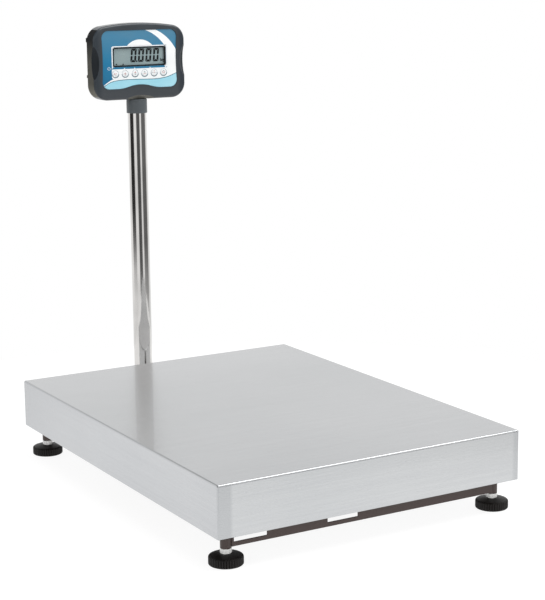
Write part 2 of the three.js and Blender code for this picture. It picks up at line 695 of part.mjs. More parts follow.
function addInlet() {
  const back = HEAD_BACK_Y;
  const place = [INLET.x, INLET.z];
  const bore = rod("y", 3.2, back - 10, back + OVERSHOOT, place);
  const body = cut(rod("y", INLET.radius, back - 14, back, place), bore);
  addNode("dc_inlet", join(body, rod("y", 1, back - 11, back - 1.5, place, 12)), RUBBER);
}

function addDisplay() {
  const front = HEAD_FRONT_Y;
  const overlay = cut(
    slab(overlayShape(0), front + 1.2, front + 2),
    windowBlock(-GAP, front, front + 5),
    ...keyHoles(KEY_RADIUS + GAP, front, front + 5),
  );
  addNode("keypad_overlay", overlay, OVERLAY);
  addNode("lcd_window", windowBlock(0, front + 1.3, front + 2.8), CLEAR);
  addNode("lcd_module", block([-64, 64], [front + 5.3, front + 8.7], [741.5, 790.5]), LCD);
}

function addMainBoard() {
  const front = HEAD_FRONT_Y + 9;
  const switchFront = HEAD_FRONT_Y + 6.3 + KEY_TRAVEL;
  const switches = KEY_XS.map((x) => block([x - 3, x + 3], [switchFront, front + 0.5], [KEY_Z - 3, KEY_Z + 3]));
  const board = block([-80, 80], [front, front + 1.6], [722, 802]);
  addNode("main_board", join(board, ...switches), BOARD);
  addNode("battery", block([-48.5, 48.5], [COLUMN_Y + 12, COLUMN_Y + 36], [736, 787]), BATTERY);
}

function addKeys() {
  const front = HEAD_FRONT_Y + 0.6;
  const flange = HEAD_FRONT_Y + 5.3;
  KEY_XS.forEach((x, index) => {
    const key = join(
      rod("y", KEY_RADIUS, front, flange + 0.5, [x, KEY_Z]),
      rod("y", KEY_RADIUS + 1.4, flange, flange + 0.9, [x, KEY_Z]),
    );
    addNode(`key_${index + 1}`, key, KEY_WHITE);
  });
}

function addHead() {
  const sweep = neckSweep();
  addFrontBezel(sweep);
  addRearHousing(sweep);
  addInlet();
  addDisplay();
  addMainBoard();
  addKeys();
}

addPlatter();
addFeet();
addBaseFrame();
addLoadCell();
addLoadCellMounts();
addLoadFrame();
addOverloadStops();
addColumn();
addSpiritLevel();
addLoadCellCable();
addNeck();
addHead();

// The origin is on the floor, midway between the front skirt and the back of the indicator
root.position.y = (PLATFORM_DEPTH / 2 - HEAD_BACK_Y) / 2;

export default root;
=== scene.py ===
"""Visual model of a platform shipping scale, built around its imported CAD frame.

Shapes are drawn in millimetres and placed in metres from the CAD nodes' own boxes.
"""
import json
import math

import bmesh
import bpy
from mathutils import Matrix, Vector


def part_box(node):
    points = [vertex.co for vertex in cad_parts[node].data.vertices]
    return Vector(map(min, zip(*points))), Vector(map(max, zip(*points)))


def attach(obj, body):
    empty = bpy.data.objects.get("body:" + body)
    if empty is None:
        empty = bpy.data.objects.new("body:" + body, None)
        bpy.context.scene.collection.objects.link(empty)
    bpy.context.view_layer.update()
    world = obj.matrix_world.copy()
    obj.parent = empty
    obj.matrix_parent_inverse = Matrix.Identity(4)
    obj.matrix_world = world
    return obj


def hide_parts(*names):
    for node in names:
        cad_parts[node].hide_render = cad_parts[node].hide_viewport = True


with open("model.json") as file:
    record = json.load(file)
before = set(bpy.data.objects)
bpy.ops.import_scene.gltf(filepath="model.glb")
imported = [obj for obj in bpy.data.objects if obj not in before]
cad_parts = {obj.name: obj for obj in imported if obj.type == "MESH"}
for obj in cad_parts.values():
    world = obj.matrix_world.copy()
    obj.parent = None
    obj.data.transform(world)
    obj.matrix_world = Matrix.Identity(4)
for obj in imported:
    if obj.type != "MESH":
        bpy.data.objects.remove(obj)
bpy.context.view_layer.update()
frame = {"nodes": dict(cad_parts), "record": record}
NODES = frame["nodes"]
BODIES = frame["record"]["behaviour"]["bodies"]
BODY_OF = {node: body for body, nodes in BODIES.items() for node in nodes}
SLOT_OF = {part["node"]: part["material_slot"] for part in frame["record"]["subparts"]}
MM = 0.001
TAU = 2 * math.pi


# ---------------- materials
def linear(value):
    return value / 12.92 if value <= 0.04045 else ((value + 0.055) / 1.055) ** 2.4


def rgb(code):
    """A hex colour as it shows on screen, in Blender's linear values."""
    return tuple(linear(int(code[i : i + 2], 16) / 255) for i in (0, 2, 4)) + (1.0,)


class Graph:
    """The shader nodes of a material or of the world."""

    def __init__(self, owner):
        owner.use_nodes = True
        self.nodes = owner.node_tree.nodes
        self.links = owner.node_tree.links

    def feed(self, socket, value):
        """Links another socket to this one, or sets it to a constant or a hex colour."""
        if isinstance(value, bpy.types.NodeSocket):
            self.links.new(value, socket)
        else:
            socket.default_value = rgb(value) if isinstance(value, str) else value

    def add(self, kind, inputs):
        node = self.nodes.new("ShaderNode" + kind)
        for key, value in inputs.items():
            self.feed(node.inputs[key], value)
        return node

    def span(self, value, low, high, to_low=0.0, to_high=1.0, curve="LINEAR"):
        """A value's range from low to high, mapped to another range and held inside it."""
        node = self.add("MapRange", {"Value": value, 1: low, 2: high, 3: to_low, 4: to_high})
        node.interpolation_type = curve
        return node.outputs["Result"]

    def combine(self, operation, first, second):
        node = self.add("Math", {0: first, 1: second})
        node.operation = operation
        return node.outputs[0]


class Finish(Graph):
    """A Principled material with procedural colour, roughness and relief."""

    def __init__(self, name, metallic=0.0, **values):
        self.data = bpy.data.materials.new(name)
        super().__init__(self.data)
        self.shader = self.nodes["Principled BSDF"]
        for key, value in dict(values, Metallic=metallic).items():
            self.shader.inputs[key.replace("_", " ")].default_value = value
        self.place = self.add("TexCoord", {}).outputs["Object"]
        self.height = None

    def noise(self, scale, stretch=(1, 1, 1), detail=2.0):
        place = self.add("Mapping", {"Scale": stretch, "Vector": self.place}).outputs["Vector"]
        inputs = {"Scale": scale, "Detail": detail, "Vector": place}
        return self.add("TexNoise", inputs).outputs["Fac"]

    def along(self, axis, low, high):
        """How far a point is from low to high along an axis, in metres, as 0 to 1."""
        split = self.add("SeparateXYZ", {"Vector": self.place})
        return self.span(split.outputs[axis], low, high)

    def mix(self, factor, first, second):
        """Two colours, or sockets that give colours, mixed by a factor."""
        node = self.add("Mix", {"Factor": factor})
        node.data_type = "RGBA"
        for socket, colour in zip((s for s in node.inputs if s.type == "RGBA"), (first, second)):
            self.feed(socket, colour)
        return next(s for s in node.outputs if s.type == "RGBA")

    def blend(self, noise, first, second, least=0.0, most=1.0):
        """Two colours mixed by a noise, whose values lie mostly between 0.3 and 0.7."""
        return self.mix(self.span(noise, 0.3, 0.7, least, most), first, second)

    def colour(self, socket, tints=()):
        """The base colour; a tint is a mask along an axis, from clear to full, and its colour."""
        for axis, clear, full, tint in tints:
            socket = self.mix(self.along(axis, clear, full), socket, tint)
        self.feed(self.shader.inputs["Base Color"], socket)
        return self

    def rough(self, value, low, high):
        self.feed(self.shader.inputs["Roughness"], self.span(value, 0.3, 0.7, low, high))
        return self

    def relief(self, value, depth):
        """Bumps of the given depth in metres; a second call adds to the first."""
        bump = self.add("Bump", {"Strength": 1.0, "Distance": depth, "Height": value})
        if self.height:
            self.feed(bump.inputs["Normal"], self.height)
        self.height = bump.outputs["Normal"]
        self.feed(self.shader.inputs["Normal"], self.height)
        return self


def brushed(name, stretch, sheets, tints=()):
    """Stainless sheet with its grain drawn out along one axis."""
    steel = Finish(name, metallic=1.0, Coat_Weight=0.5, Coat_Roughness=0.04)
    fine = steel.noise(2400, stretch, 3)
    tone = steel.blend(steel.noise(260, stretch, 2), *sheets[:2])
    patches = steel.mix(steel.span(steel.noise(2.4, detail=3), 0.35, 0.65), *sheets[2:])
    steel.colour(steel.blend(fine, tone, patches, 0.35, 0.65), tints)
    return steel.rough(fine, 0.23, 0.28).relief(fine, 0.0000008)


def polished(name, code, low, high, stretch=(1, 1, 1), scale=900):
    steel = Finish(name, metallic=1.0)
    grain = steel.noise(scale, stretch, 3)
    steel.colour(steel.blend(steel.noise(14, detail=2), "b9b8b6", code, 0.3))
    return steel.rough(grain, low, high).relief(grain, 0.000001)


def painted(name, dark, light, low, high):
    """Powder coat: orange peel, a fine speckle and a slightly uneven gloss."""
    paint = Finish(name)
    peel = paint.noise(420)
    speck = paint.noise(2600, detail=1)
    paint.colour(paint.blend(speck, dark, light))
    return paint.rough(peel, low, high).relief(peel, 0.00006).relief(speck, 0.000008)


def moulded(name, dark, light, low, high, grain=1500, depth=0.00002, tints=(), **values):
    """Moulded plastic or rubber: an even spark-eroded grain with faint flow marks."""
    plastic = Finish(name, **values)
    texture = plastic.noise(grain)
    plastic.colour(plastic.blend(plastic.noise(18), dark, light), tints)
    return plastic.rough(texture, low, high).relief(texture, depth)


def printed_ink(name, dark, light, low=0.3, high=0.38):
    return moulded("print_" + name, dark, light, low, high, 2400, 0.000004)


def overlay_film():
    """Printed polyester: blue that deepens downwards under a fine satin texture."""
    film = Finish("overlay_film", Specular_IOR_Level=0.4)
    low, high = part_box("keypad_overlay")
    rise = film.along("Z", low.z, high.z)
    across = film.along("X", low.x, high.x)
    texture = film.noise(2400)
    lower = film.mix(film.span(rise, 0.05, 0.5), "0e658b", "12739c")
    upper = film.mix(film.span(rise, 0.45, 1.0), lower, "4d829f")
    tint = film.blend(film.noise(40, detail=1), upper, "1f7aa3", 0, 0.25)
    film.colour(film.mix(film.span(across, 0.0, 1.0, 0, 0.2), tint, "5b8aa3"))
    return film.rough(texture, 0.28, 0.36).relief(texture, 0.000004)


def clear_window():
    glass = Finish("clear_window", Alpha=0.06, Specular_IOR_Level=0.6)
    haze = glass.noise(300)
    glass.colour(glass.mix(haze, "232b2d", "2f3739"))
    return glass.rough(haze, 0.02, 0.05)


def display_glass():
    """Reflective liquid crystal: grey-green with the faint grain of its rear diffuser."""
    glass = Finish("display_glass", Coat_Weight=0.3, Coat_Roughness=0.08)
    grain = glass.noise(1900)
    tone = glass.blend(glass.noise(22, detail=1), "94a8ab", "a5b7b7")
    glass.colour(glass.blend(grain, tone, "90a2a7", 0, 0.35))
    return glass.rough(grain, 0.35, 0.45)


GRAIN_X, GRAIN_Y = (0.012, 1, 1), (1, 0.012, 1)
# The top and the skirts are one steel in three tones, the skirts lighter than the top: painted light and
# shade by how each face is lit
BRUSHED_TOP = brushed("brushed_steel_top", GRAIN_X, ("afb1b3", "b8babc", "adafb1", "babbbd"))
# The side skirts darken towards the back: painted shade
BRUSHED_SIDES = brushed(
    "brushed_steel_sides", GRAIN_Y, ("b8babd", "c1c3c5", "b6b8bb", "c3c4c6"), [("Y", 0.0, 0.4, "adafb2")]
)
# The end skirts darken close to each corner: painted shade
BRUSHED_ENDS = brushed(
    "brushed_steel_ends", GRAIN_X, ("c2c4c6", "cacccd", "c0c2c4", "cccdce"),
    [("X", -0.272, -0.278, "b8babc"), ("X", 0.284, 0.291, "bcbec0")],
)
ZINC = polished("zinc_plate", "f2f2ee", 0.16, 0.28)
# The lock nuts are bright zinc given a near-white matt colour, with painted highlight of the glare on them
NUT = moulded("zinc_nut_painted_highlight", "fafaf8", "fefefc", 0.3, 0.42, 900, 0.000004)
# The finger scoops are painted darker than the bezel: painted shade in the hollows
SCOOP = moulded("scoop_plastic", "10171d", "182027", 0.4, 0.5, Specular_IOR_Level=0.25)
# The arch facet under the bezel is much paler than the bezel: painted light on a facet that faces down into
# shade
ARCH = moulded("arch_facet", "56554f", "605f58", 0.34, 0.44)
COLLAR = moulded("collar_plastic", "464c50", "52585c", 0.4, 0.52)
CAP = moulded("key_film_white", "e6e9ea", "f3f5f5", 0.3, 0.4, 2200, 0.000006)
PRINT_WHITE = printed_ink("white", "eef1f2", "f8fafa", 0.28, 0.36)
PRINT_CYAN = printed_ink("cyan", "93d0e2", "a9dcea", 0.28, 0.36)
PRINT_TEAL = printed_ink("teal", "2b5d70", "336a7e")
PRINT_GREY = printed_ink("grey", "6c8086", "7d9096")
PRINT_RED = printed_ink("red", "b4504a", "c4625b")
MASK = moulded("window_mask", "0b0d0f", "14171a", 0.3, 0.4, 2000, 0.000004, Specular_IOR_Level=0.3)
SEGMENT = moulded("display_segment", "060809", "0c0f11", 0.4, 0.5, 2400, 0.000003, Specular_IOR_Level=0.25)
FACE_LOW, FACE_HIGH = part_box("front_bezel")
REAR_LOW, REAR_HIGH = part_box("rear_housing")
# The bezel is darker towards each side, painted shade beside the finger scoops, and paler along its lower
# edge, painted light from the floor
HOUSING = moulded(
    "housing_plastic", "272e34", "30373d", 0.34, 0.44, Coat_Weight=0.35, Coat_Roughness=0.18,
    tints=[
        ("Z", FACE_LOW.z + 0.03, FACE_LOW.z + 0.012, "353a3f"),
        ("X", FACE_LOW.x + 0.018, FACE_LOW.x + 0.008, "15222c"),
        ("X", FACE_HIGH.x - 0.018, FACE_HIGH.x - 0.008, "18242f"),
    ],
)
# The sides and the rear: near-black plastic painted an olive grey that deepens to black towards the top,
# palest at the bottom; the olive is painted light from the floor
COVER = moulded(
    "housing_plastic_rear", "4c4b45", "53524b", 0.5, 0.62, Specular_IOR_Level=0.06,
    tints=[
        ("Z", REAR_LOW.z + 0.035, REAR_LOW.z, "77756c"),
        ("Z", REAR_HIGH.z - 0.08, REAR_HIGH.z - 0.033, "0d0f11"),
    ],
)
SLOT_FINISH = {
    "brushed_steel": BRUSHED_TOP,
    "polished_steel": polished("polished_steel", "dedcda", 0.05, 0.1, (1, 1, 0.02), 700),
    "zinc": ZINC,
    "frame_paint": painted("frame_paint", "3b2e2b", "4a3a36", 0.38, 0.5),
    "aluminium": polished("milled_aluminium", "c3c6c8", 0.28, 0.42, (1, 0.03, 1), 1200),
    "support_rubber": moulded("support_rubber", "1a1918", "262423", 0.7, 0.85, 1100, 0.00004),
    "foot_plastic": moulded("foot_plastic", "0d0b0a", "191513", 0.4, 0.52, 1400, Specular_IOR_Level=0.25),
    "housing_plastic": HOUSING,
    "overlay_film": overlay_film(),
    "key_film": CAP,
    "clear_window": clear_window(),
    "display_glass": display_glass(),
    "circuit_board": moulded("circuit_board", "17492c", "236a40", 0.35, 0.5, 500, 0.00001),
    "battery_case": moulded("battery_case", "232529", "33363b", 0.42, 0.55),
    "cable_jacket": moulded("cable_jacket", "1f1f20", "2c2c2d", 0.5, 0.65, 1300),
    "socket_plastic": moulded("socket_plastic", "121212", "1e1e1e", 0.35, 0.5),
}


# ---------------- geometry
def merge(*shapes):
    verts, faces = [], []
    for some_verts, some_faces in shapes:
        faces += [[index + len(verts) for index in face] for face in some_faces]
        verts += some_verts
    return verts, faces


def shift(shape, x=0.0, y=0.0, z=0.0):
    return [(a + x, b + y, c + z) for a, b, c in shape[0]], shape[1]


def turned(shape, place):
    """A shape with each of its points put elsewhere by a function of x, y and z."""
    return [place(*point) for point in shape[0]], shape[1]


def facing(shape, axis):
    """A shape made round Z, turned to lie along another axis: its +Z becomes +X or +Y."""
    turns = {"x": lambda x, y, z: (z, y, -x), "y": lambda x, y, z: (x, z, -y), "z": lambda *p: p}
    return turned(shape, turns[axis])


def leaned(shape, angle, y=0.0, z=0.0):
    """A shape turned about the X direction through a point."""
    cos, sin = math.cos(angle), math.sin(angle)

    def place(a, b, c):
        return a, y + (b - y) * cos - (c - z) * sin, z + (b - y) * sin + (c - z) * cos

    return turned(shape, place)


def spun(rows, steps, ring=False):
    """Quads between rows; a row is a height and a radius, or a radius for each angle."""
    verts, faces, indices = [], [], []
    for height, radius in rows:
        if radius == 0:
            indices.append([len(verts)])
            verts.append((0.0, 0.0, height))
            continue
        indices.append(list(range(len(verts), len(verts) + steps)))
        for step in range(steps):
            angle = TAU * step / steps
            reach = radius(angle) if callable(radius) else radius
            verts.append((reach * math.cos(angle), reach * math.sin(angle), height))
    following = indices[1:] + ([indices[0]] if ring else [])
    for low, high in zip(indices, following):
        for step in range(steps):
            after = (step + 1) % steps
            base = [low[step], low[after]] if len(low) > 1 else low
            top = [high[after], high[step]] if len(high) > 1 else high
            if len(base) + len(top) > 2:
                faces.append(base + top)
    return verts, faces


def loft(rings, closed=False):
    """Quads between rings of points, with a face over each end unless the last meets the first."""
    count = len(rings[0])
    verts = [tuple(point) for ring in rings for point in ring]
    faces = [] if closed else [list(range(count))[::-1], list(range(len(verts) - count, len(verts)))]
    for ring in range(len(rings) if closed else len(rings) - 1):
        for index in range(count):
            after = (index + 1) % count
            low, high = ring * count, (ring + 1) % len(rings) * count
            faces.append([low + index, low + after, high + after, high + index])
    return verts, faces


def arc(centre, radius, start, end, steps):
    """Points on an arc in a plane, with its angles in degrees."""
    angles = [math.radians(start + (end - start) * i / steps) for i in range(steps + 1)]
    return [(centre[0] + radius * math.cos(a), centre[1] + radius * math.sin(a)) for a in angles]


def rounded(x, y, radius, steps=8):
    """A rectangle of half sizes x and y with round corners."""
    points = []
    for sx, sy, start in ((1, 1, 0), (-1, 1, 90), (-1, -1, 180), (1, -1, 270)):
        points += arc((sx * (x - radius), sy * (y - radius)), radius, start, start + 90, steps)
    return points


def bar(x, y, z, radius=0.6, steps=3):
    """A block between pairs of limits, with every edge rounded."""
    middle = [(a + b) / 2 for a, b in (x, y, z)]
    half = [(b - a) / 2 for a, b in (x, y, z)]
    radius = min(radius, *[0.98 * h for h in half])
    rings = []
    for sign, order in ((-1, range(steps, -1, -1)), (1, range(steps + 1))):
        for index in order:
            angle = math.pi / 2 * index / steps
            inset = radius * (1 - math.cos(angle))
            height = middle[2] + sign * (half[2] - radius + radius * math.sin(angle))
            plan = rounded(half[0] - inset, half[1] - inset, max(radius - inset, 0.02), steps)
            rings.append([(middle[0] + a, middle[1] + b, height) for a, b in plan])
    return loft(rings)


def plate(loops, front, back):
    """A flat shape drawn in X and Z, with any holes, filling the space between two Y values."""
    curve = bpy.data.curves.new("plate", "CURVE")
    curve.dimensions, curve.fill_mode = "2D", "BOTH"
    curve.extrude = (back - front) / 2
    for loop in loops:
        spline = curve.splines.new("POLY")
        spline.points.add(len(loop) - 1)
        for point, (x, z) in zip(spline.points, loop):
            point.co = (x, z, 0, 1)
        spline.use_cyclic_u = True
    holder = bpy.data.objects.new("plate", curve)
    mesh = bpy.data.meshes.new_from_object(holder)
    middle = (front + back) / 2
    verts = [(v.co.x, middle - v.co.z, v.co.y) for v in mesh.vertices]
    faces = [list(polygon.vertices) for polygon in mesh.polygons]
    bpy.data.objects.remove(holder)
    bpy.data.meshes.remove(mesh)
    return verts, faces


def disc(radius, x=0.0, z=0.0, steps=40):
    return arc((x, z), radius, 0, 360 * (steps - 1) / steps, steps - 1)


def hoop(radius, width, x=0.0, z=0.0, steps=40):
    """A disc's outline and that of the hole in it."""
    return [disc(radius, x, z, steps), disc(radius - width, x, z, steps)]


def mirrored(points):
    return [(-x, z) for x, z in reversed(points)]


def rectangle(x0, x1, z0, z1, radius=1.0, steps=5):
    plan = rounded((x1 - x0) / 2, (z1 - z0) / 2, radius, steps)
    return [((x0 + x1) / 2 + x, (z0 + z1) / 2 + z) for x, z in plan]


def smooth(points, steps=6):
    """A Catmull-Rom curve through the points."""
    ends = [points[0], *points, points[-1]]
    curve = []
    for a, b, c, d in zip(ends, ends[1:], ends[2:], ends[3:]):
        for step in range(steps):
            t = step / steps
            curve.append(tuple(
                0.5 * (2 * q + (r - p) * t + (2 * p - 5 * q + 4 * r - s) * t * t
                       + (3 * q - p - 3 * r + s) * t ** 3)
                for p, q, r, s in zip(a, b, c, d)
            ))
    return curve + [points[-1]]


# ---------------- pieces
def limits(node):
    """The two corners of a node's box, in millimetres."""
    low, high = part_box(node)
    return low / MM, high / MM


def middle_of(node):
    low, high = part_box(node)
    return (low + high) / 2


def foot_of(node):
    """The point on the floor under the middle of a node."""
    centre = middle_of(node)
    return Vector((centre.x, centre.y, 0))


HEAD_ORIGIN = Vector((middle_of("front_bezel").x, FACE_LOW.y, 0))


def linked(name, data):
    obj = bpy.data.objects.new(name, data)
    bpy.context.scene.collection.objects.link(obj)
    return obj


def clean(mesh, flatten=False, weld=0.000002):
    """Welds a mesh and turns its faces outwards; flattening also joins faces in one plane."""
    shape = bmesh.new()
    shape.from_mesh(mesh)
    bmesh.ops.remove_doubles(shape, verts=shape.verts, dist=weld)
    if flatten:
        flat = math.radians(1)
        bmesh.ops.dissolve_limit(shape, angle_limit=flat, verts=shape.verts, edges=shape.edges)
    else:
        bmesh.ops.dissolve_degenerate(shape, edges=shape.edges, dist=weld)
    bmesh.ops.recalc_face_normals(shape, faces=shape.faces)
    shape.to_mesh(mesh)
    shape.free()


def solid(name, shape, origin=HEAD_ORIGIN):
    """A mesh object from a shape in millimetres, placed at an origin in metres."""
    mesh = bpy.data.meshes.new(name)
    mesh.from_pydata([origin + Vector(v) * MM for v in shape[0]], [], shape[1])
    clean(mesh)
    return linked(name, mesh)


def bake(obj):
    """Replaces an object's mesh by what its modifiers make of it."""
    bpy.context.view_layer.update()
    evaluated = obj.evaluated_get(bpy.context.evaluated_depsgraph_get())
    mesh = bpy.data.meshes.new_from_object(evaluated)
    obj.modifiers.clear()
    obj.data = mesh


def carve(obj, shapes, operation="DIFFERENCE"):
    """Cuts shapes out of a piece of the head, or joins them to it; a shape may be an object too."""
    tools = [tool if isinstance(tool, bpy.types.Object) else solid("tool", tool) for tool in shapes]
    for tool in tools:
        modifier = obj.modifiers.new("carve", "BOOLEAN")
        modifier.operation = operation
        modifier.solver = "EXACT"
        modifier.object = tool
    bake(obj)
    for tool in tools:
        bpy.data.objects.remove(tool)
    return obj


def keep(obj, node=None, finish=None, body=None, slot=None, angle=32, even=True):
    """Gives a finished piece its material and body, by default the finish of its CAD node's slot and
    that node's body; its shading is smooth, sharp over the angle, and even across big flat faces."""
    slot = slot or SLOT_OF[node]
    obj.data.materials.clear()
    obj.data.materials.append((finish or SLOT_FINISH[slot]).data)
    obj.data.shade_smooth()
    obj.data.set_sharp_from_angle(angle=math.radians(angle))
    if even:
        normals = obj.modifiers.new("even_shading", "WEIGHTED_NORMAL")
        normals.keep_sharp = True
        normals.weight = 80
    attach(obj, body or BODY_OF[node])
    if node:
        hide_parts(node)
    return obj


def keep_print(obj, finish=None, slot="overlay_film", body="head"):
    """Keeps a print, a weld bead or another small piece that stands for no CAD node."""
    return keep(obj, None, finish, body, slot, even=False)


def soften(node, width):
    """A copy of a CAD node with its sharp edges rounded."""
    mesh = NODES[node].data.copy()
    mesh.name = node + "_rounded"
    clean(mesh, flatten=True)
    obj = linked(node + "_rounded", mesh)
    edges = obj.modifiers.new("rounded_edges", "BEVEL")
    edges.width = width * MM
    edges.segments = 2
    edges.limit_method = "ANGLE"
    edges.angle_limit = math.radians(40)
    bake(obj)
    return keep(obj, node)


# ---------------- platter
def add_platter():
    """A folded pan with rounded bends and a hemmed lower edge; its skirts have their own finishes, with their
    own grain and a lighter tone than the top, which is painted light.
    """
    low, high = limits("platter")
    half_x, half_y = (high.x - low.x) / 2, (high.y - low.y) / 2
    bend, sheet, hem = 3.5, 1.5, 0.4

    def fold(offset, radius):
        """One skin's bend from the skirt up to the top: pairs of inset and height."""
        angles = [math.pi / 2 * index / 8 for index in range(9)]
        top = high.z - offset
        return [(offset + radius * (1 - math.cos(a)), top - radius * (1 - math.sin(a))) for a in angles]

    inside = fold(sheet, bend - sheet)[::-1] + [(sheet, low.z + hem), (sheet - hem, low.z)]
    outside = [(hem, low.z), (0, low.z + hem)] + fold(0, bend)
    rings = []
    for inset, z in inside + outside:
        plan = rounded(half_x - inset, half_y - inset, max(bend - inset, 0.05))
        rings.append([(x, y, z) for x, y in plan])
    pan = keep(solid("platter_pan", loft(rings), foot_of("platter")), "platter", angle=40)
    pan.data.materials.append(BRUSHED_SIDES.data)
    pan.data.materials.append(BRUSHED_ENDS.data)
    for face in pan.data.polygons:
        ends = 2 if abs(face.normal.y) > 0.75 else 0
        face.material_index = 1 if abs(face.normal.x) > 0.75 else ends


# ---------------- feet
def hexagon(flats, chamfer_from=None, chamfer_height=0.0):
    """Radius of a hexagon by angle, cut back by a cone where its corners are chamfered."""

    def radius(angle):
        turned = (angle + math.pi / 6) % (math.pi / 3) - math.pi / 6
        flat = flats / 2 / math.cos(turned)
        return min(flat, chamfer_from + chamfer_height) if chamfer_from else flat

    return radius


def hex_head(flats, low, high, bore=0.0, steps=72):
    """A hexagon whose corners are chamfered at both ends, with a bore if it is a nut."""
    inner, tall = flats / 2 * 0.97, flats / 2 * (2 / math.sqrt(3) - 1) + 0.1
    rise = tall / math.sqrt(3)
    rows = [(low + rise * k / 4, hexagon(flats, inner, tall * k / 4)) for k in range(5)]
    rows += [(high + low - z, reach) for z, reach in reversed(rows)]
    if bore:
        mouth = bore + 0.5
        rows += [(high, mouth), (high - 0.5, bore), (low + 0.5, bore), (low, mouth)]
        return spun(rows, steps, ring=True)
    return spun([(low, 0), *rows, (high, 0)], steps)


def thread(radius, low, high, pitch=1.5, steps=24):
    """A threaded rod: its radius follows a helix, and runs out at both ends."""
    depth, rows = 0.55 * pitch, [(low, 0)]
    count = int((high - low) / pitch * 4)
    for index in range(count + 1):
        z = low + (high - low) * index / count
        fade = min(1.0, (z - low) / pitch, (high - z) / pitch)

        def reach(angle, z=z, fade=fade):
            phase = (z / pitch - angle / TAU) % 1
            return radius - 0.02 - depth * (1 - abs(2 * phase - 1)) * fade - 0.5 * (1 - fade)

        rows.append((z, reach))
    return spun([*rows, (high, 0)], steps)


def knurled_pad():
    """The foot's pad: a knurled rim, a sloping shoulder, a hub, and a bore for the stud."""
    ribs, depth = 40, 1.7

    def rim(radius, share=1.0):
        return lambda angle: radius - depth * share * (1 - abs(math.sin(ribs / 2 * angle)))

    rows = [(0.6, 0), (0.6, 22.0), (0, 24.0), (0, 26.6), (0.5, 27.8), (1.2, rim(28.8))]
    rows += [(2.2, rim(29.0)), (12.6, rim(29.0)), (13.6, rim(28.7, 0.9)), (14.5, rim(28.1, 0.7))]
    rows += [(15.2, rim(26.9, 0.4)), (15.6, 25.8), (17.5, 15.8), (17.8, 14.4), (18.1, 13.2), (18.4, 12.4)]
    rows += [(18.4, 5.9), (17.9, 5.35), (6.0, 5.35), (6.0, 0)]
    return spun(rows, 320)


# The feet and the overload stops have the same thread, with the same hexagon on it
SCREW_FLATS, SCREW_RADIUS = 17.0, 5.0


def add_feet():
    pad, stud = knurled_pad(), thread(SCREW_RADIUS, 6.3, 68.0)
    nut = hex_head(SCREW_FLATS, 18.7, 27.1, SCREW_RADIUS + 0.3)
    for number in range(1, 5):
        spot = foot_of(f"foot_pad_{number}")
        keep(solid(f"foot_pad_knurled_{number}", pad, spot), f"foot_pad_{number}")
        keep(solid(f"foot_stud_threaded_{number}", stud, spot), f"foot_stud_{number}", angle=50)
        keep(solid(f"foot_lock_nut_chamfered_{number}", nut, spot), f"foot_lock_nut_{number}", NUT)


# ---------------- base and load frame
RIPPLE = 0.12


def bead(start, end, radius=1.9, pitch=2.4):
    """A weld bead with the ripples that its pool leaves."""
    start, end = Vector(start), Vector(end)
    length = (end - start).length
    along = (end - start).normalized()
    side = along.orthogonal().normalized()
    other = along.cross(side)
    count = max(6, int(length / pitch * 4))
    angles = [TAU * step / 10 for step in range(10)]
    rings = []
    for index in range(count + 1):
        share = index / count
        ripple = RIPPLE * math.cos(TAU * share * length / pitch)
        taper = math.sqrt(max(0.05, 1 - (2 * share - 1) ** 12))
        reach = radius * (1 + ripple) * taper
        centre = start + along * length * share
        rings.append([centre + reach * (side * math.cos(a) + other * math.sin(a)) for a in angles])
    return loft(rings)


def ring_bead(centre, height, radius, size=1.7, ripples=44):
    """A rippled weld bead round a boss."""
    tilts = [TAU * turn / 8 for turn in range(8)]
    rings = []
    for step in range(ripples * 4):
        angle = TAU * step / (ripples * 4)
        reach = size * (1 + RIPPLE * math.cos(angle * ripples))
        section = [(radius + reach * math.cos(t), height + reach * math.sin(t)) for t in tilts]
        cos, sin = math.cos(angle), math.sin(angle)
        rings.append([(centre.x + out * cos, centre.y + out * sin, z) for out, z in section])
    return loft(rings, closed=True)


def add_base_frame():
    for node in BODIES["base"]:
        if node.startswith("base_"):
            soften(node, 0.8)
    soften("column_bracket", 0.8)
    boss_drop, boss_weld, boss_radius = 17.4, 47.0, 9.7
    socket_weld, socket_radius = 47.6, 23.2
    rail_floor = limits("base_left_rail")[0].z + boss_drop
    beads = []
    for node in ("base_front_beam", "base_rear_beam", "base_cross_beam"):
        low, high = limits(node)
        bottom = max(low.z, rail_floor) + 1.5
        for x in (low.x, high.x):
            for y in (high.y,) if node == "base_front_beam" else (low.y, high.y):
                beads.append(bead((x, y, bottom), (x, y, high.z - 1.5)))
    for number in range(1, 5):
        beads.append(ring_bead(foot_of(f"foot_pad_{number}") / MM, boss_weld, boss_radius))
    beads.append(ring_bead(foot_of("column_tube") / MM, socket_weld, socket_radius, 2.0, 72))
    keep_print(solid("base_weld_beads", merge(*beads), Vector()), slot="frame_paint", body="base")


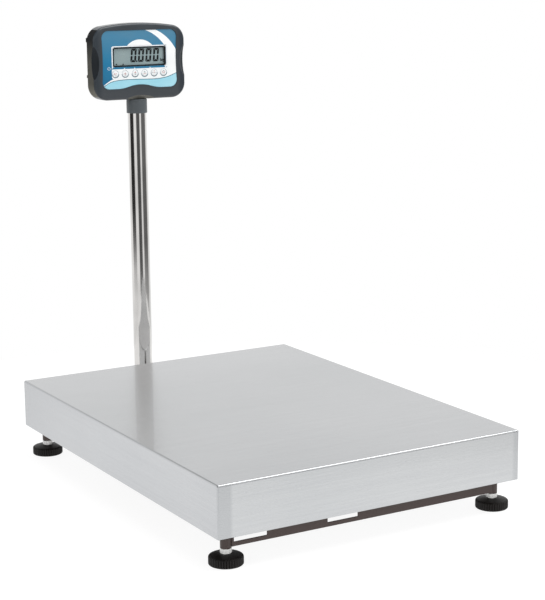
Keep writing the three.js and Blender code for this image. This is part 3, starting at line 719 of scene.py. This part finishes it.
def add_load_frame():
    for node in ("load_frame_left_rail", "load_frame_right_rail", "load_frame_cross_plate"):
        soften(node, 0.8)
    low, high = limits("load_frame_cross_plate")
    beads = [bead((x, low.y + 2, high.z), (x, high.y - 2, high.z)) for x in (low.x, high.x)]
    welds = solid("load_frame_weld_beads", merge(*beads), Vector())
    keep_print(welds, slot="frame_paint", body="load_frame")
    low, high = limits("platter_support_pad_1")
    bottom, top = low.z, high.z
    rows = [(bottom, 0), (bottom, 11.2), (bottom + 0.5, 12.0), (top - 0.8, 12.0), (top - 0.2, 11.6)]
    rows += [(top, 11.0), (top, 8.6), (top - 0.7, 8.0), (top - 0.7, 7.0), (top, 6.4), (top, 0)]
    pad = spun(rows, 64)
    low, high = limits("overload_stop_1")
    head, rod = hex_head(SCREW_FLATS, high.z - 8, high.z), thread(SCREW_RADIUS, low.z, high.z - 7.8)
    for number in range(1, 5):
        node = f"platter_support_pad_{number}"
        keep(solid(f"platter_support_pad_moulded_{number}", pad, foot_of(node)), node)
        node = f"overload_stop_{number}"
        keep(solid(f"overload_stop_threaded_{number}", merge(head, rod), foot_of(node)), node)


def socket_head(low, high, radius=6.5, key=6.0):
    """A cap screw's head: knurled side, round shoulder, and a hexagon socket from above."""
    def knurl(angle):
        return radius - 0.3 * (0.5 + 0.5 * math.cos(angle * 36))

    rows = [(low, 0), (low, radius - 0.4), (low + 0.4, knurl), (high - 1.0, knurl)]
    rows += [(high - 0.3, radius - 0.4), (high, radius - 0.9), (high, hexagon(key + 0.4))]
    rows += [(high - 0.3, hexagon(key)), (high - 4.5, hexagon(key)), (high - 5.5, 0)]
    return spun(rows, 144)


def add_load_cell():
    for node in ("load_cell", "load_cell_lower_spacer", "load_cell_upper_spacer"):
        soften(node, 0.5)
    for number in (1, 2):
        for place in ("lower", "upper"):
            node = f"load_cell_{place}_bolt_{number}"
            low, high = limits(node)
            if place == "upper":
                head, rod = socket_head(high.z - 8, high.z), (low.z, high.z - 7.9)
            else:
                head = turned(socket_head(-low.z - 8, -low.z), lambda x, y, z: (x, -y, -z))
                rod = (low.z + 7.9, high.z)
            keep(solid(node + "_cap_screw", merge(head, thread(4.0, *rod, 1.25)), foot_of(node)), node)


# ---------------- column
def add_column():
    low, high = limits("column_tube")
    outer = (high.x - low.x) / 2
    inner = outer - 1.5
    rows = [(low.z, outer - 0.4), (low.z + 0.4, outer), (high.z - 0.4, outer)]
    rows += [(high.z, outer - 0.4), (high.z, inner + 0.3), (high.z - 0.3, inner)]
    rows += [(low.z + 0.3, inner), (low.z, inner + 0.3)]
    keep(solid("column_tube_polished", spun(rows, 128, ring=True), foot_of("column_tube")), "column_tube")
    for number in (1, 2):
        node = f"column_clamp_bolt_{number}"
        low, high = limits(node)
        head = high.y - 5.3
        shape = merge(hex_head(13.0, head, high.y), thread(3.7, low.y, head + 0.2, 1.0))
        centre = middle_of(node)
        keep(solid(node + "_hex", facing(shape, "y"), Vector((centre.x, 0, centre.z))), node)
    add_spirit_level()


def add_spirit_level():
    low, high = limits("spirit_level")
    floor, top = low.z + 1.6, high.z - 1.0
    rows = [(low.z, 0), (low.z, 8.4), (low.z + 0.5, 9.0), (high.z - 0.6, 9.0), (high.z, 8.5)]
    rows += [(high.z, 7.4), (high.z - 0.4, 7.0), (low.z + 1.5, 7.0), (low.z + 1.5, 0)]
    spot = foot_of("spirit_level")
    keep(solid("spirit_level_cup", spun(rows, 72), spot), "spirit_level")
    liquid = Finish("spirit_level_liquid", Coat_Weight=0.8, Coat_Roughness=0.03)
    depth = liquid.noise(160)
    liquid.colour(liquid.mix(depth, "9fb52c", "c6d94a")).rough(depth, 0.08, 0.14)
    dome = [(top + 0.6 * math.cos(a), 6.9 * math.sin(a)) for a in (math.pi / 2, 1.2, 0.8, 0.4)]
    fluid = spun([(floor, 0), (floor, 6.9), *dome, (top + 0.6, 0)], 64)
    rows = [(top + 0.55, 3.0), (top + 0.75, 3.0), (top + 0.75, 3.5), (top + 0.55, 3.5)]
    target = spun(rows, 48, ring=True)
    cap = [(top + 0.55 + 0.35 * math.sin(a), 2.2 * math.cos(a)) for a in (0, 0.4, 0.8, 1.2)]
    bubble = spun([(top + 0.5, 0), *cap, (top + 0.9, 0)], 40)
    for part, shape, finish in (("vial", fluid, liquid), ("target", target, MASK), ("bubble", bubble, CAP)):
        keep(solid("spirit_level_" + part, shape, spot), None, finish, "base", "clear_window")


# ---------------- neck
AXIS_Y = (middle_of("column_tube").y - HEAD_ORIGIN.y) / MM
PIVOT_Z = middle_of("tilt_pin").z / MM
COLLAR_TOP = 679.3
# Half the width and depth of the neck's tongue, and the radius of its barrel round the tilt pin
TONGUE, TONGUE_DEPTH, BARREL = 12, 10, 10


def spun_along(axis, rows, a, b, steps=64):
    """Rows spun about X, Y or Z through a point of the other two axes."""
    offset = {"x": (0, a, b), "y": (a, 0, b), "z": (a, b, 0)}[axis]
    return shift(facing(spun(rows, steps), axis), *offset)


def rod_along(axis, radius, low, high, a, b, steps=64):
    return spun_along(axis, [(low, 0), (low, radius), (high, radius), (high, 0)], a, b, steps)


def pin_bore(half):
    return rod_along("x", 3.3, -half, half, AXIS_Y, PIVOT_Z, 40)


def add_neck():
    low, _ = limits("neck_collar")
    tube_top = limits("column_tube")[1].z
    top = COLLAR_TOP
    outside = [(low.z, 0), (low.z, 20.2), (low.z + 0.3, 20.8), (low.z + 1.0, 21.0), (top - 4.0, 21.0)]
    outside += [(top - 3.6, 20.6), (top - 3.2, 20.6), (top - 2.8, 21.0), (top - 0.8, 21.0)]
    outside += [(top - 0.2, 20.7), (top, 20.1), (top, 0)]
    neck = solid("neck_collar_moulded", shift(spun(outside, 128), y=AXIS_Y))
    y = (AXIS_Y - TONGUE_DEPTH, AXIS_Y + TONGUE_DEPTH)
    tongue = bar((-TONGUE, TONGUE), y, (top - 1, PIVOT_Z), 0.3)
    carve(neck, [tongue, rod_along("x", BARREL, -TONGUE, TONGUE, AXIS_Y, PIVOT_Z)], "UNION")
    carve(neck, [
        rod_along("z", 19.3, low.z - 5, tube_top + 0.3, 0, AXIS_Y, 128),
        rod_along("z", 3.5, tube_top - 1, top + 1, 0, AXIS_Y + 15, 32),
        pin_bore(20),
    ])
    keep(neck, "neck_collar", COLLAR)


# ---------------- indicator
HEAD_HALF = 102.0
HEAD_LOW, HEAD_HIGH = 680.0, 832.6
HEAD_CORNER = 30.0
CROWN = 8.6
SPLIT, BACK = 31.0, 62.0
SHELL = 2.6
SCOOP_CENTRE = Vector((HEAD_HALF + 10, -10, 755))
SCOOP_REACH = (24.5, 22.5, 44)
SCREW_PLACES = [(x, z) for x in (-66, 66) for z in (728, 794)]
KEY_CENTRES = [(middle_of(f"key_{n}").x / MM, middle_of(f"key_{n}").z / MM) for n in range(1, 7)]
WINDOW_LOW, WINDOW_HIGH = limits("lcd_window")
WINDOW = (WINDOW_LOW.x, WINDOW_HIGH.x, WINDOW_LOW.z, WINDOW_HIGH.z)


def head_outline(inset):
    """The indicator's outline: round corners, and a top edge that falls away at each end."""
    crown = math.radians(CROWN)
    side = HEAD_HALF - HEAD_CORNER
    crown_radius = HEAD_CORNER + side / math.sin(crown)
    crown_centre = HEAD_HIGH - crown_radius
    shoulder = crown_centre + (crown_radius - HEAD_CORNER) * math.cos(crown)
    low, radius = HEAD_LOW + HEAD_CORNER, HEAD_CORNER - inset
    right = arc((side, low), radius, -90, 0, 16) + arc((side, shoulder), radius, 0, 90 - CROWN, 16)
    top = arc((0, crown_centre), crown_radius - inset, 90 - CROWN, 90 + CROWN, 24)[1:-1]
    return right + top + mirrored(right)


# The rear housing's skins from the split to the back: how far each outline is drawn in, and its depth
REAR_OUTSIDE = [(0.6, 31.3), (0.3, 31.9), (3.2, 37.6), (6.5, 44), (9.3, 49.2), (13, 54.3), (17.3, 58.5)]
REAR_OUTSIDE += [(22, 61.2), (26, BACK)]
REAR_INSIDE = [(1, 28), (9.2, 43.3), (11.8, 47.6), (15.2, 52.1), (19, 55.7), (23, 58.2)]
REAR_INSIDE += [(26.5, BACK - SHELL)]
LUG = [(11, 685), (36, 685), (47, 689.5), (56, 697), (59, 704), (11, 704)]


def head_loft(rows):
    """The head's outline through pairs of how far it is drawn in and its depth."""
    return loft([[(x, y, z) for x, z in head_outline(inset)] for inset, y in rows])


def overlay_outline(inset):
    """Round corners, slightly drawn-in sides, and an arch in the lower edge."""
    x, top, bottom = 83.3 - inset, 818.3 - inset, 702.0 + inset
    radius, waist, rise = 15.0, 3.0, 7.4
    middle = (top + bottom) / 2

    def bezier(*knots):
        points = []
        for step in range(1, 15):
            t, terms = step / 14, list(knots)
            while len(terms) > 1:
                terms = [tuple(a + (b - a) * t for a, b in zip(p, q)) for p, q in zip(terms, terms[1:])]
            points += terms
        return points

    apex = (0, bottom + rise)
    right = bezier(apex, (22, apex[1]), (28, bottom), (50, bottom))
    right += arc((x - radius, bottom + radius), radius, -90, 0, 12)
    right += bezier((x, bottom + radius), (x - waist, middle), (x, top - radius))
    right += arc((x - radius, top - radius), radius, 0, 90, 12)[1:]
    return [apex] + right + mirrored(right)


def ellipsoid(centre, reach):
    rows = [(math.sin(t), math.cos(t)) for t in (math.radians(d) for d in range(-84, 90, 6))]
    ball = spun([(-1, 0), *rows, (1, 0)], 72)
    return turned(ball, lambda *p: tuple(c + r * u for c, r, u in zip(centre, reach, p)))


def scoop(side, thicken=0.0):
    """The finger scoop in the front edge of each side."""
    centre = (side * SCOOP_CENTRE.x, SCOOP_CENTRE.y, SCOOP_CENTRE.z)
    return ellipsoid(centre, [reach + thicken for reach in SCOOP_REACH])


def arch_relief(thicken=0.0):
    """The sloping arch under the bezel, where the collar shows."""
    half, rise = 36.5, 4.8 + thicken
    radius = (half * half + rise * rise) / (2 * rise)
    spread = math.degrees(math.asin(half / radius))
    edge = [(-half, -20), (half, -20)]
    edge += arc((0, rise - radius), radius, 90 - spread, 90 + spread, 32)
    block = loft([[(x, y, z) for x, z in edge] for y in (-20, 20)])
    return shift(leaned(block, math.radians(-55)), z=HEAD_LOW)


def neck_clearance():
    """The space that the neck sweeps as the head tilts, as cutters at even steps."""
    room = 0.8
    wide, depth = TONGUE + room, TONGUE_DEPTH + room
    collar = rod_along("z", 21 + room, 600, COLLAR_TOP + room, 0, AXIS_Y, 96)
    tongue = bar((-wide, wide), (AXIS_Y - depth, AXIS_Y + depth), (650, PIVOT_Z), 0.1, 1)
    cutters = []
    for step in range(10):
        tilt = math.radians(-2 + 35 * step / 9)
        cutters += [leaned(shape, tilt, AXIS_Y, PIVOT_Z) for shape in (collar, tongue)]
    return cutters + [rod_along("x", BARREL + room, -wide, wide, AXIS_Y, PIVOT_Z)]


def window_outline(room, radius=1.0):
    """A rectangle round the window, with the same room on all sides."""
    x0, x1, z0, z1 = WINDOW
    return rectangle(x0 - room, x1 + room, z0 - room, z1 + room, radius)


def bezel_slot(place, normal):
    """Which finish a face of the bezel has: 0 front, 1 arch facet, painted light, 2 sides, 3 finger scoops,
    painted shade.
    """
    out = abs(place.x)
    if place.z < HEAD_LOW + 9 and out < 37 and normal.y < -0.6 and normal.z < -0.4:
        return 1
    offset = Vector((out, place.y, place.z)) - SCOOP_CENTRE
    share = sum((part / reach) ** 2 for part, reach in zip(offset, SCOOP_REACH))
    if abs(share - 1) < 0.03 and out > HEAD_HALF - 15:
        return 3
    outward = normal.x * place.x > 0 and abs(normal.x) > 0.6
    return 2 if outward and place.y > 3 and out > 80 else 0


def add_front_bezel():
    edge, steps = 4.5, 10
    angles = [math.pi / 2 * i / steps for i in range(steps + 1)]
    rows = [(edge * (1 - math.sin(a)), edge * (1 - math.cos(a))) for a in angles]
    bezel = solid("front_bezel_moulded", head_loft([*rows, (0, SPLIT - 0.4), (0.4, SPLIT)]))
    cavity = solid("cavity", head_loft([(SHELL, 5), (SHELL, SPLIT + 1)]))
    carve(cavity, [scoop(-1, SHELL), scoop(1, SHELL), arch_relief(SHELL)])
    carve(bezel, [
        cavity,
        plate([overlay_outline(-0.3)], -1, 2.3),
        scoop(-1),
        scoop(1),
        arch_relief(),
        plate([window_outline(0.3)], 0, 6),
        *[rod_along("y", 6.9, 0, 6, x, z) for x, z in KEY_CENTRES],
        *neck_clearance(),
    ])
    keep(bezel, "front_bezel")
    for finish in (ARCH, COVER, SCOOP):
        bezel.data.materials.append(finish.data)
    for face in bezel.data.polygons:
        face.material_index = bezel_slot((face.center - HEAD_ORIGIN) / MM, face.normal)


def add_rear_housing():
    skin = REAR_OUTSIDE[:2] + smooth(REAR_OUTSIDE[2:], 4)
    housing = solid("rear_housing_moulded", head_loft(skin))
    low, high = limits("battery_cover")
    inlet = middle_of("dc_inlet") / MM
    carve(housing, [head_loft(REAR_INSIDE)])
    bosses = [rod_along("y", 6.5, 12, BACK - 2, x, z, 48) for x, z in SCREW_PLACES]
    bosses += [loft([[(x, y, z) for y, z in LUG] for x in (mid - 3, mid + 3)]) for mid in (-16.5, 16.5)]
    for x in (-99.4, 99.4):
        for z in ((724.5, 730.5), (795.5, 804.5)):
            bosses.append(bar((x - 2.4, x + 2.4), (32.5, 36), z, 0.8))
    carve(housing, bosses, "UNION")
    opening = rectangle(low.x - 0.3, high.x + 0.3, low.z - 0.3, high.z + 0.3)
    cutters = [plate([opening], BACK - 5, BACK + 1)]
    cutters += [rod_along("y", 5.8, BACK - 5, BACK + 1, inlet.x, inlet.z), pin_bore(30)]
    cutters += [rod_along("y", 4.3, BACK - 8, BACK + 1, x, z, 48) for x, z in SCREW_PLACES]
    vents = [rectangle(-27, 27, z - 0.9, z + 0.9, 0.85) for z in (796, 799, 802)]
    cutters += [plate([vent], BACK - 1.2, BACK + 1) for vent in vents]
    carve(housing, cutters + neck_clearance())
    keep(housing, "rear_housing", COVER)
    add_battery_cover(low, high)
    add_housing_screws()
    add_inlet(inlet)


def add_battery_cover(low, high):
    lid = bar((low.x, high.x), (low.y - HEAD_ORIGIN.y / MM, BACK), (low.z, high.z), 0.5)
    grip = ellipsoid(((low.x + high.x) / 2, BACK + 9, high.z - 9), (15, 11, 7))
    ribs = [bar((-40, 40), (BACK - 0.7, BACK + 1), (z - 0.6, z + 0.6), 0.3) for z in (738, 741, 744)]
    keep(carve(solid("battery_cover_ribbed", lid), [grip, *ribs]), "battery_cover", COVER)


def add_housing_screws():
    """Pan-head screws at the bottom of their wells, each with a cross recess."""
    seat = BACK - 8.0
    rows = [(seat, 0), (seat, 3.4), (seat + 0.8, 3.5), (seat + 1.6, 3.1), (seat + 2.1, 2.2), (seat + 2.3, 0)]
    heads = [spun_along("y", rows, x, z, 48) for x, z in SCREW_PLACES]
    slots = []
    for wide, tall in ((1.9, 0.4), (0.4, 1.9)):
        cut = bar((-wide, wide), (seat + 1.1, seat + 3), (-tall, tall), 0.1, 1)
        slots.append(merge(*[shift(cut, x=x, z=z) for x, z in SCREW_PLACES]))
    keep(carve(solid("housing_screws", merge(*heads)), slots), None, ZINC, "head", "zinc")


def add_inlet(place):
    rows = [(BACK - 14, 0), (BACK - 14, 5.5), (BACK - 0.5, 5.5), (BACK, 5.0), (BACK, 3.6)]
    rows += [(BACK - 0.5, 3.2), (BACK - 10, 3.2), (BACK - 10, 0)]
    keep(solid("dc_inlet_barrel", spun_along("y", rows, place.x, place.z)), "dc_inlet")
    rows = [(BACK - 10.2, 0), (BACK - 10.2, 1.0), (BACK - 2.0, 1.0), (BACK - 1.5, 0.6), (BACK - 1.5, 0)]
    pin = solid("dc_inlet_pin", spun_along("y", rows, place.x, place.z, 32))
    keep(pin, None, ZINC, "head", "zinc")


# ---------------- overlay and display
FILM_FRONT = 1.2
LAMP_X, LAMP_Z = -68.4, 743.2
DARK_LINE = [
    (-86, 704.4), (-79.2, 708.9), (-70.2, 713.9), (-62, 717.0), (-47.4, 719.3), (-31, 720.2),
    (-11.4, 720.2), (8.4, 719.7), (28.3, 719.3), (43.3, 719.9), (58.4, 722.0), (70.2, 725.3),
    (82, 730.0), (90, 734.0),
]


def trimmed(name, loops, lift):
    """A print on the film: a thin layer kept inside the film's edge and clear of its holes."""
    layer = solid(name, plate(loops, FILM_FRONT - lift, FILM_FRONT + 0.1))
    carve(layer, [plate([overlay_outline(0.25)], 0, 3)], "INTERSECT")
    keys = [rod_along("y", 7.1, 0, 3, x, z) for x, z in KEY_CENTRES]
    return carve(layer, [plate([window_outline(0.5)], 0, 3), *keys])


def add_overlay():
    x0, x1, z0, z1 = WINDOW
    panel_top, left = z0 - 4.4, x0 - 3.0
    holes = [disc(6.9, x, z, 64) for x, z in KEY_CENTRES]
    film = plate([overlay_outline(0), window_outline(0.3), *holes], FILM_FRONT, 2.0)
    keep(solid("keypad_overlay_film", film), "keypad_overlay", even=False)

    line = smooth(DARK_LINE)

    def above_line(rise):
        return [(x, z + rise) for x, z in line]

    sweep = arc((0.6, 732.1), 93.3, 8, 72, 48)
    inner = arc((-14.3, 735.3), 87.3, 76, 35, 36)
    band = sweep + [(40, 830)] + inner + [(x1 + 2.2, z1 + 2.0), (x1 + 2.2, z0 - 4.2)]
    tail = [(left, 726.5), (-61.9, 724.9), (-61.0, 723.6), (-59.7, 722.7), (-58.5, 722.2)]
    tail += [(-61.3, 721.4), (-64, 720.2), (-70, 717.2), (-76, 713.4), (-82, 708.8), (-86, 705.6)]
    white = band + [(x0, panel_top), (left, panel_top), *tail] + above_line(-0.3)
    keep_print(trimmed("overlay_print_white", [white], 0.05), PRINT_WHITE)

    border = rectangle(x0 - 2.6, x1 + 2.6, z0 - 3.6, z1 + 2.4, 3.2, 8)
    strip = [(x0 - 0.9, panel_top), (x1 - 1, panel_top), (x1 - 4, z0 - 0.2), (x0 - 0.9, z0 - 0.2)]
    window_frame = trimmed("overlay_print_window_frame", [border], 0.05)
    keep_print(carve(window_frame, [plate([strip], 0, 3)]), PRINT_WHITE)

    dome = arc((0.8, z1 + 2.0 - 26.7), 39.2, 42.8, 137.2, 40)
    keep_print(trimmed("overlay_print_dome", [dome], 0.05), PRINT_WHITE)
    cyan = above_line(-0.4) + [(90, 690), (-90, 690)]
    keep_print(trimmed("overlay_print_cyan", [cyan], 0.07), PRINT_CYAN)
    stripe = above_line(0.65) + above_line(-0.65)[::-1]
    keep_print(trimmed("overlay_print_line", [stripe], 0.09), PRINT_TEAL)
    add_overlay_marks(panel_top)


def add_overlay_marks(panel_top):
    """Pointers over the keys, the ring and dash beside the lamp, and a grey crescent below each key, painted
    shadow of the raised key.
    """
    loops = [
        [(x - 1.6, panel_top - 0.1), (x + 1.6, panel_top - 0.1), (x, panel_top + 2.6)]
        for x in (-34.4, -11.5, 23.0)
    ]
    loops.append([(-65.0, 743.4), (-62.4, 743.4), (-62.4, 742.8), (-65.0, 742.8)])
    front, back = FILM_FRONT - 0.06, FILM_FRONT + 0.1
    shapes = [*[[loop] for loop in loops], hoop(3.1, 0.6, LAMP_X, LAMP_Z, 48)]
    marks = merge(*[plate(shape, front, back) for shape in shapes])
    keep_print(solid("overlay_print_marks", marks), PRINT_WHITE)
    # Grey crescents on the film below the keys: painted shadow of the raised keys
    key_shadows = []
    for x, z in KEY_CENTRES:
        loop = arc((x, z - 0.35), 8.0, 187, 353, 28) + arc((x, z + 0.25), 7.25, 353, 187, 28)
        key_shadows.append(plate([loop], FILM_FRONT - 0.1, back))
    keep_print(solid("overlay_painted_key_shadows", merge(*key_shadows)), PRINT_GREY)


def add_lamp():
    """The small indicator lamp inside its printed ring."""
    lens = Finish("lamp_lens", Coat_Weight=1.0, Coat_Roughness=0.05)
    glow = lens.noise(400, detail=1)
    lens.colour(lens.mix(glow, "3c7f9e", "5b9db9")).rough(glow, 0.1, 0.2)
    cap = [(-1.2 + 0.5 * math.sin(a), 1.3 * math.cos(a)) for a in (0.3, 0.7, 1.1)]
    dome = spun([(-1.3, 0), (-1.3, 1.3), *cap, (-0.7, 0)], 32)
    lamp = turned(dome, lambda x, y, z: (x + LAMP_X, -z, LAMP_Z - y))
    keep(solid("indicator_lamp", lamp), None, lens, "head", "overlay_film")


def zero(left, low, width=12.8, height=26.9, stroke=4.4, gap=0.35):
    """The six bars of a nought, mitred at its corners and pointed where they meet at mid height."""
    middle, point = height / 2, height / 2 + gap + stroke * 0.35
    inner, slit = width - stroke, stroke + gap
    top = [(1.6, height), (width - 1.6, height), (width - 1.0, height - 0.6)]
    top += [(inner - gap, height - stroke), (slit, height - stroke), (1.0, height - 0.6)]
    side = [(0.5, height - 1.1), (stroke, height - slit), (stroke, point), (stroke / 2, middle + gap)]
    side += [(0, point), (0, height - 1.6)]
    other = [(width - x, z) for x, z in side]
    upper = [top, side, other]
    lower = [[(x, height - z) for x, z in loop] for loop in upper]
    return [[(left + x, low + z) for x, z in loop] for loop in upper + lower]


# The unit beside the digits, and the two marks at their left
UNIT_MARK = [
    [(48.2, 754.4), (49.6, 754.4), (49.6, 760.6), (48.2, 760.6)],
    [(49.6, 756.0), (51.6, 759.0), (53.3, 759.0), (50.4, 755.4)],
    [(50.4, 757.4), (51.6, 754.4), (53.4, 754.4), (51.6, 758.2)],
    [(56.3, 759.0), (57.5, 759.0), (57.5, 753.4), (56.9, 752.4), (53.8, 752.4), (53.8, 753.5), (56.3, 753.5)],
]
STATE_MARKS = [
    [(-52.3, 751.0), (-48.6, 753.1), (-48.6, 748.9)],
    [(-37.0, 749.4), (-33.0, 749.4), (-35.0, 753.0)],
]


def add_display():
    low, high = limits("lcd_module")
    front, back = (y - HEAD_ORIGIN.y / MM for y in (low.y, high.y))
    keep(solid("lcd_module_glass", bar((low.x, high.x), (front, back), (low.z, high.z), 0.5)), "lcd_module")

    x0, x1, z0, z1 = WINDOW
    keep(solid("lcd_window_pane", bar((x0, x1), (1.3, 2.8), (z0, z1), 0.35)), "lcd_window")
    # The mask's band is wider on the right and at the bottom than at the left and top: partly the window's
    # black border, partly painted shade of the recess behind the window
    hole = rectangle(x0 + 3.0, x1 - 3.6, z0 + 2.8, z1 - 2.6, 2.2)
    mask = plate([window_outline(0, 0.8), hole], 2.82, 3.0)
    keep_print(solid("lcd_window_mask", mask), MASK, "clear_window")

    fillets = []
    for x, z, radius, start in ((x1, z1, 3.0, 0), (x0, z1, 4.2, 90), (x0, z0, 3.0, 180), (x1, z0, 3.6, 270)):
        centre = (x - math.copysign(radius, x), z - radius if z == z1 else z + radius)
        fillets.append(plate([[(x, z)] + arc(centre, radius, start + 90, start, 12)], 1.22, 1.34))
    keep_print(solid("window_print_corners", merge(*fillets)), PRINT_WHITE, "clear_window")

    lean, pitch, line, middle = math.tan(math.radians(5.4)), 16.75, 754.3, 767.7
    loops = [
        [(x + (z - middle) * lean, z) for x, z in bars]
        for index in range(4)
        for bars in zero(-17.8 + pitch * index, line)
    ]
    loops += [disc(1.6, -4.7, 755.9, 20), *UNIT_MARK, *STATE_MARKS]
    shapes = [*[[loop] for loop in loops], hoop(2.1, 1.3, 55.0, 756.8, 20)]
    layers = [plate(shape, front - 0.12, front + 0.05) for shape in shapes]
    keep_print(solid("lcd_segments", merge(*layers)), SEGMENT, "display_glass")


# ---------------- keys
def stroke(x0, z0, x1, z1, width=0.7):
    length = math.hypot(x1 - x0, z1 - z0)
    ux, uz = (x1 - x0) / length * width / 2, (z1 - z0) / length * width / 2
    return [(x0 - uz, z0 + ux), (x0 + uz, z0 - ux), (x1 + uz, z1 - ux), (x1 - uz, z1 + ux)]


KEY_RED = [
    [[stroke(-2.8, 0, 0.8, 0)], [[(-3.6, 0), (-1.6, 1.5), (-1.6, -1.5)]], [stroke(0.8, 0, 2.6, 1.2)]],
    [hoop(1.7, 0.6), [stroke(0, 0, 1.6, 1.6, 0.5)]],
    [[[(-2.0, 0.9), (2.0, 0.9), (0, 3.6)]]],
    [[stroke(-2.6, -1.4, 2.6, -1.4)]],
    [[disc(0.9, 0, 0.4)], [stroke(-1.6, 4.0, 1.6, 4.0)]],
    [[arc((0, 0.6), 2.8, -230, 50, 24) + arc((0, 0.6), 2.1, 50, -230, 24)]],
]
KEY_GREY = [
    [[stroke(-2.4, -3.2, 2.4, -3.2, 0.5)]],
    [[stroke(-1.8, -3.4, 1.8, -3.4, 0.5)]],
    [[[(-2.0, -0.8), (2.0, -0.8), (0, -3.5)]]],
    [[[(-1.8, 0.8), (1.8, 0.8), (0, 3.6)]]],
    [[stroke(-5.4, 0, -1.6, 0, 0.5)], [stroke(1.6, 0, 5.4, 0, 0.5)]],
    [[stroke(0, 0.9, 0, 4.2)]],
]


def add_keys():
    """Round keys: a domed cap, a flange behind the bezel, and a printed symbol."""
    rows = [(0.6, 0), (0.62, 3.0), (0.7, 5.0), (0.95, 6.2), (1.4, 6.6), (5.3, 6.6)]
    rows += [(5.3, 7.8), (5.5, 8.0), (6.0, 8.0), (6.2, 7.8), (6.2, 0)]
    for number, (x, z) in enumerate(KEY_CENTRES, 1):
        body = f"key_{number}"
        keep(solid(f"key_cap_{number}", spun_along("y", rows, x, z, 72)), body)
        for ink, finish, symbols in (("red", PRINT_RED, KEY_RED), ("grey", PRINT_GREY, KEY_GREY)):
            mark = merge(*[plate(loops, 0.52, 0.9) for loops in symbols[number - 1]])
            mark = solid(f"key_symbol_{ink}_{number}", shift(mark, x=x, z=z))
            keep_print(mark, finish, "key_film", body)


# ---------------- carried-over CAD nodes
def finish_cad_nodes():
    for name, node in NODES.items():
        if not node.hide_render:
            finish = SLOT_FINISH[SLOT_OF[name]].data
            if not node.data.materials:
                node.data.materials.append(finish)
            for slot in node.material_slots:
                slot.material = finish


# ---------------- studio
CAMERA_PLACE = Vector((-1.47929, -2.65624, 0.9443))
CAMERA_YAW = math.radians(30.288)
CAMERA_PITCH = math.radians(11.412)
CAMERA_ROLL = math.radians(-0.5723)


def add_camera():
    """The camera looks ahead and down from its place, and is turned a little about its own axis."""
    data = bpy.data.cameras.new("camera")
    data.lens, data.sensor_width, data.sensor_fit = 99.64, 36.0, "AUTO"
    place = Matrix.Translation(CAMERA_PLACE)
    for angle, axis in ((-CAMERA_YAW, "Z"), (math.pi / 2 - CAMERA_PITCH, "X"), (CAMERA_ROLL, "Z")):
        place = place @ Matrix.Rotation(angle, 4, axis)
    camera = linked("camera", data)
    camera.matrix_world = place
    bpy.context.scene.camera = camera


def add_floor():
    """A white floor that glows a little, so only faint contact shadows show on it."""
    sweep = Finish("studio_floor", Emission_Color=(1, 1, 1, 1), Emission_Strength=0.9)
    cloud = sweep.noise(3, detail=1)
    sweep.colour(sweep.mix(cloud, "6e6e6e", "747474")).rough(cloud, 0.8, 0.9)
    rows = [(-0.2, 0), (-0.2, 1100.0), (-12.0, 1100.0), (-12.0, 0)]
    floor = solid("studio_floor", spun(rows, 128), Vector())
    floor.data.materials.append(sweep.data)


def add_lights():
    lamp = bpy.data.lights.new("overhead_softbox", "AREA")
    lamp.shape, lamp.size, lamp.size_y = "RECTANGLE", 2.6, 1.8
    lamp.energy = 58
    softbox = linked("overhead_softbox", lamp)
    softbox.location = (0.8, -0.5, 2.6)
    softbox.rotation_euler = (math.radians(6), math.radians(14), 0)


# Dark flags round the studio, which polished metal mirrors as upright bands: the bearing from the
# camera's side in degrees, the half width, how dark each is, and the heights between which it fades.
FLAGS = ((-69, 27, 0.97, -0.2, -0.15), (12, 21, 0.9, -0.26, -0.17), (84, 32, 0.84, -0.24, -0.16))


def add_world():
    world = bpy.data.worlds.new("studio")
    bpy.context.scene.world = world
    sky = Graph(world)
    place = sky.add("TexCoord", {}).outputs["Generated"]
    height = sky.add("SeparateXYZ", {0: place}).outputs["Z"]

    def multiply(first, second):
        return sky.combine("MULTIPLY", first, second)

    low_down = sky.span(height, 0.02, 0.07, 1, 0, "SMOOTHSTEP")
    light = sky.span(height, 0.36, 0.62, 1.0, 0.42, "SMOOTHSTEP")
    back = Vector((-math.sin(CAMERA_YAW), -math.cos(CAMERA_YAW), 0))
    right = Vector((math.cos(CAMERA_YAW), -math.sin(CAMERA_YAW), 0))
    for bearing, half, depth, gone, full in FLAGS:
        angle = math.radians(bearing)
        toward = back * math.cos(angle) + right * math.sin(angle)
        facing_it = sky.add("VectorMath", {0: place, 1: toward})
        facing_it.operation = "DOT_PRODUCT"
        edges = (math.cos(math.radians(half + 5)), math.cos(math.radians(half - 5)))
        inside = sky.span(facing_it.outputs["Value"], *edges, 0, 1, "SMOOTHSTEP")
        fade = multiply(sky.span(height, gone, full, 0, 1, "SMOOTHSTEP"), low_down)
        light = multiply(light, sky.combine("SUBTRACT", 1.0, multiply(multiply(inside, fade), depth)))
    seen = sky.add("LightPath", {}).outputs["Is Camera Ray"]
    background = sky.nodes["Background"]
    sky.feed(background.inputs["Strength"], sky.combine("MAXIMUM", light, seen))
    background.inputs["Color"].default_value = (1, 1, 1, 1)
    bpy.context.scene.view_settings.view_transform = "Standard"


for add_part in (
    add_camera, add_floor, add_lights, add_world, add_platter, add_feet, add_base_frame, add_load_frame,
    add_load_cell, add_column, add_neck, add_front_bezel, add_rear_housing, add_overlay, add_lamp,
    add_display, add_keys, finish_cad_nodes,
):
    add_part()
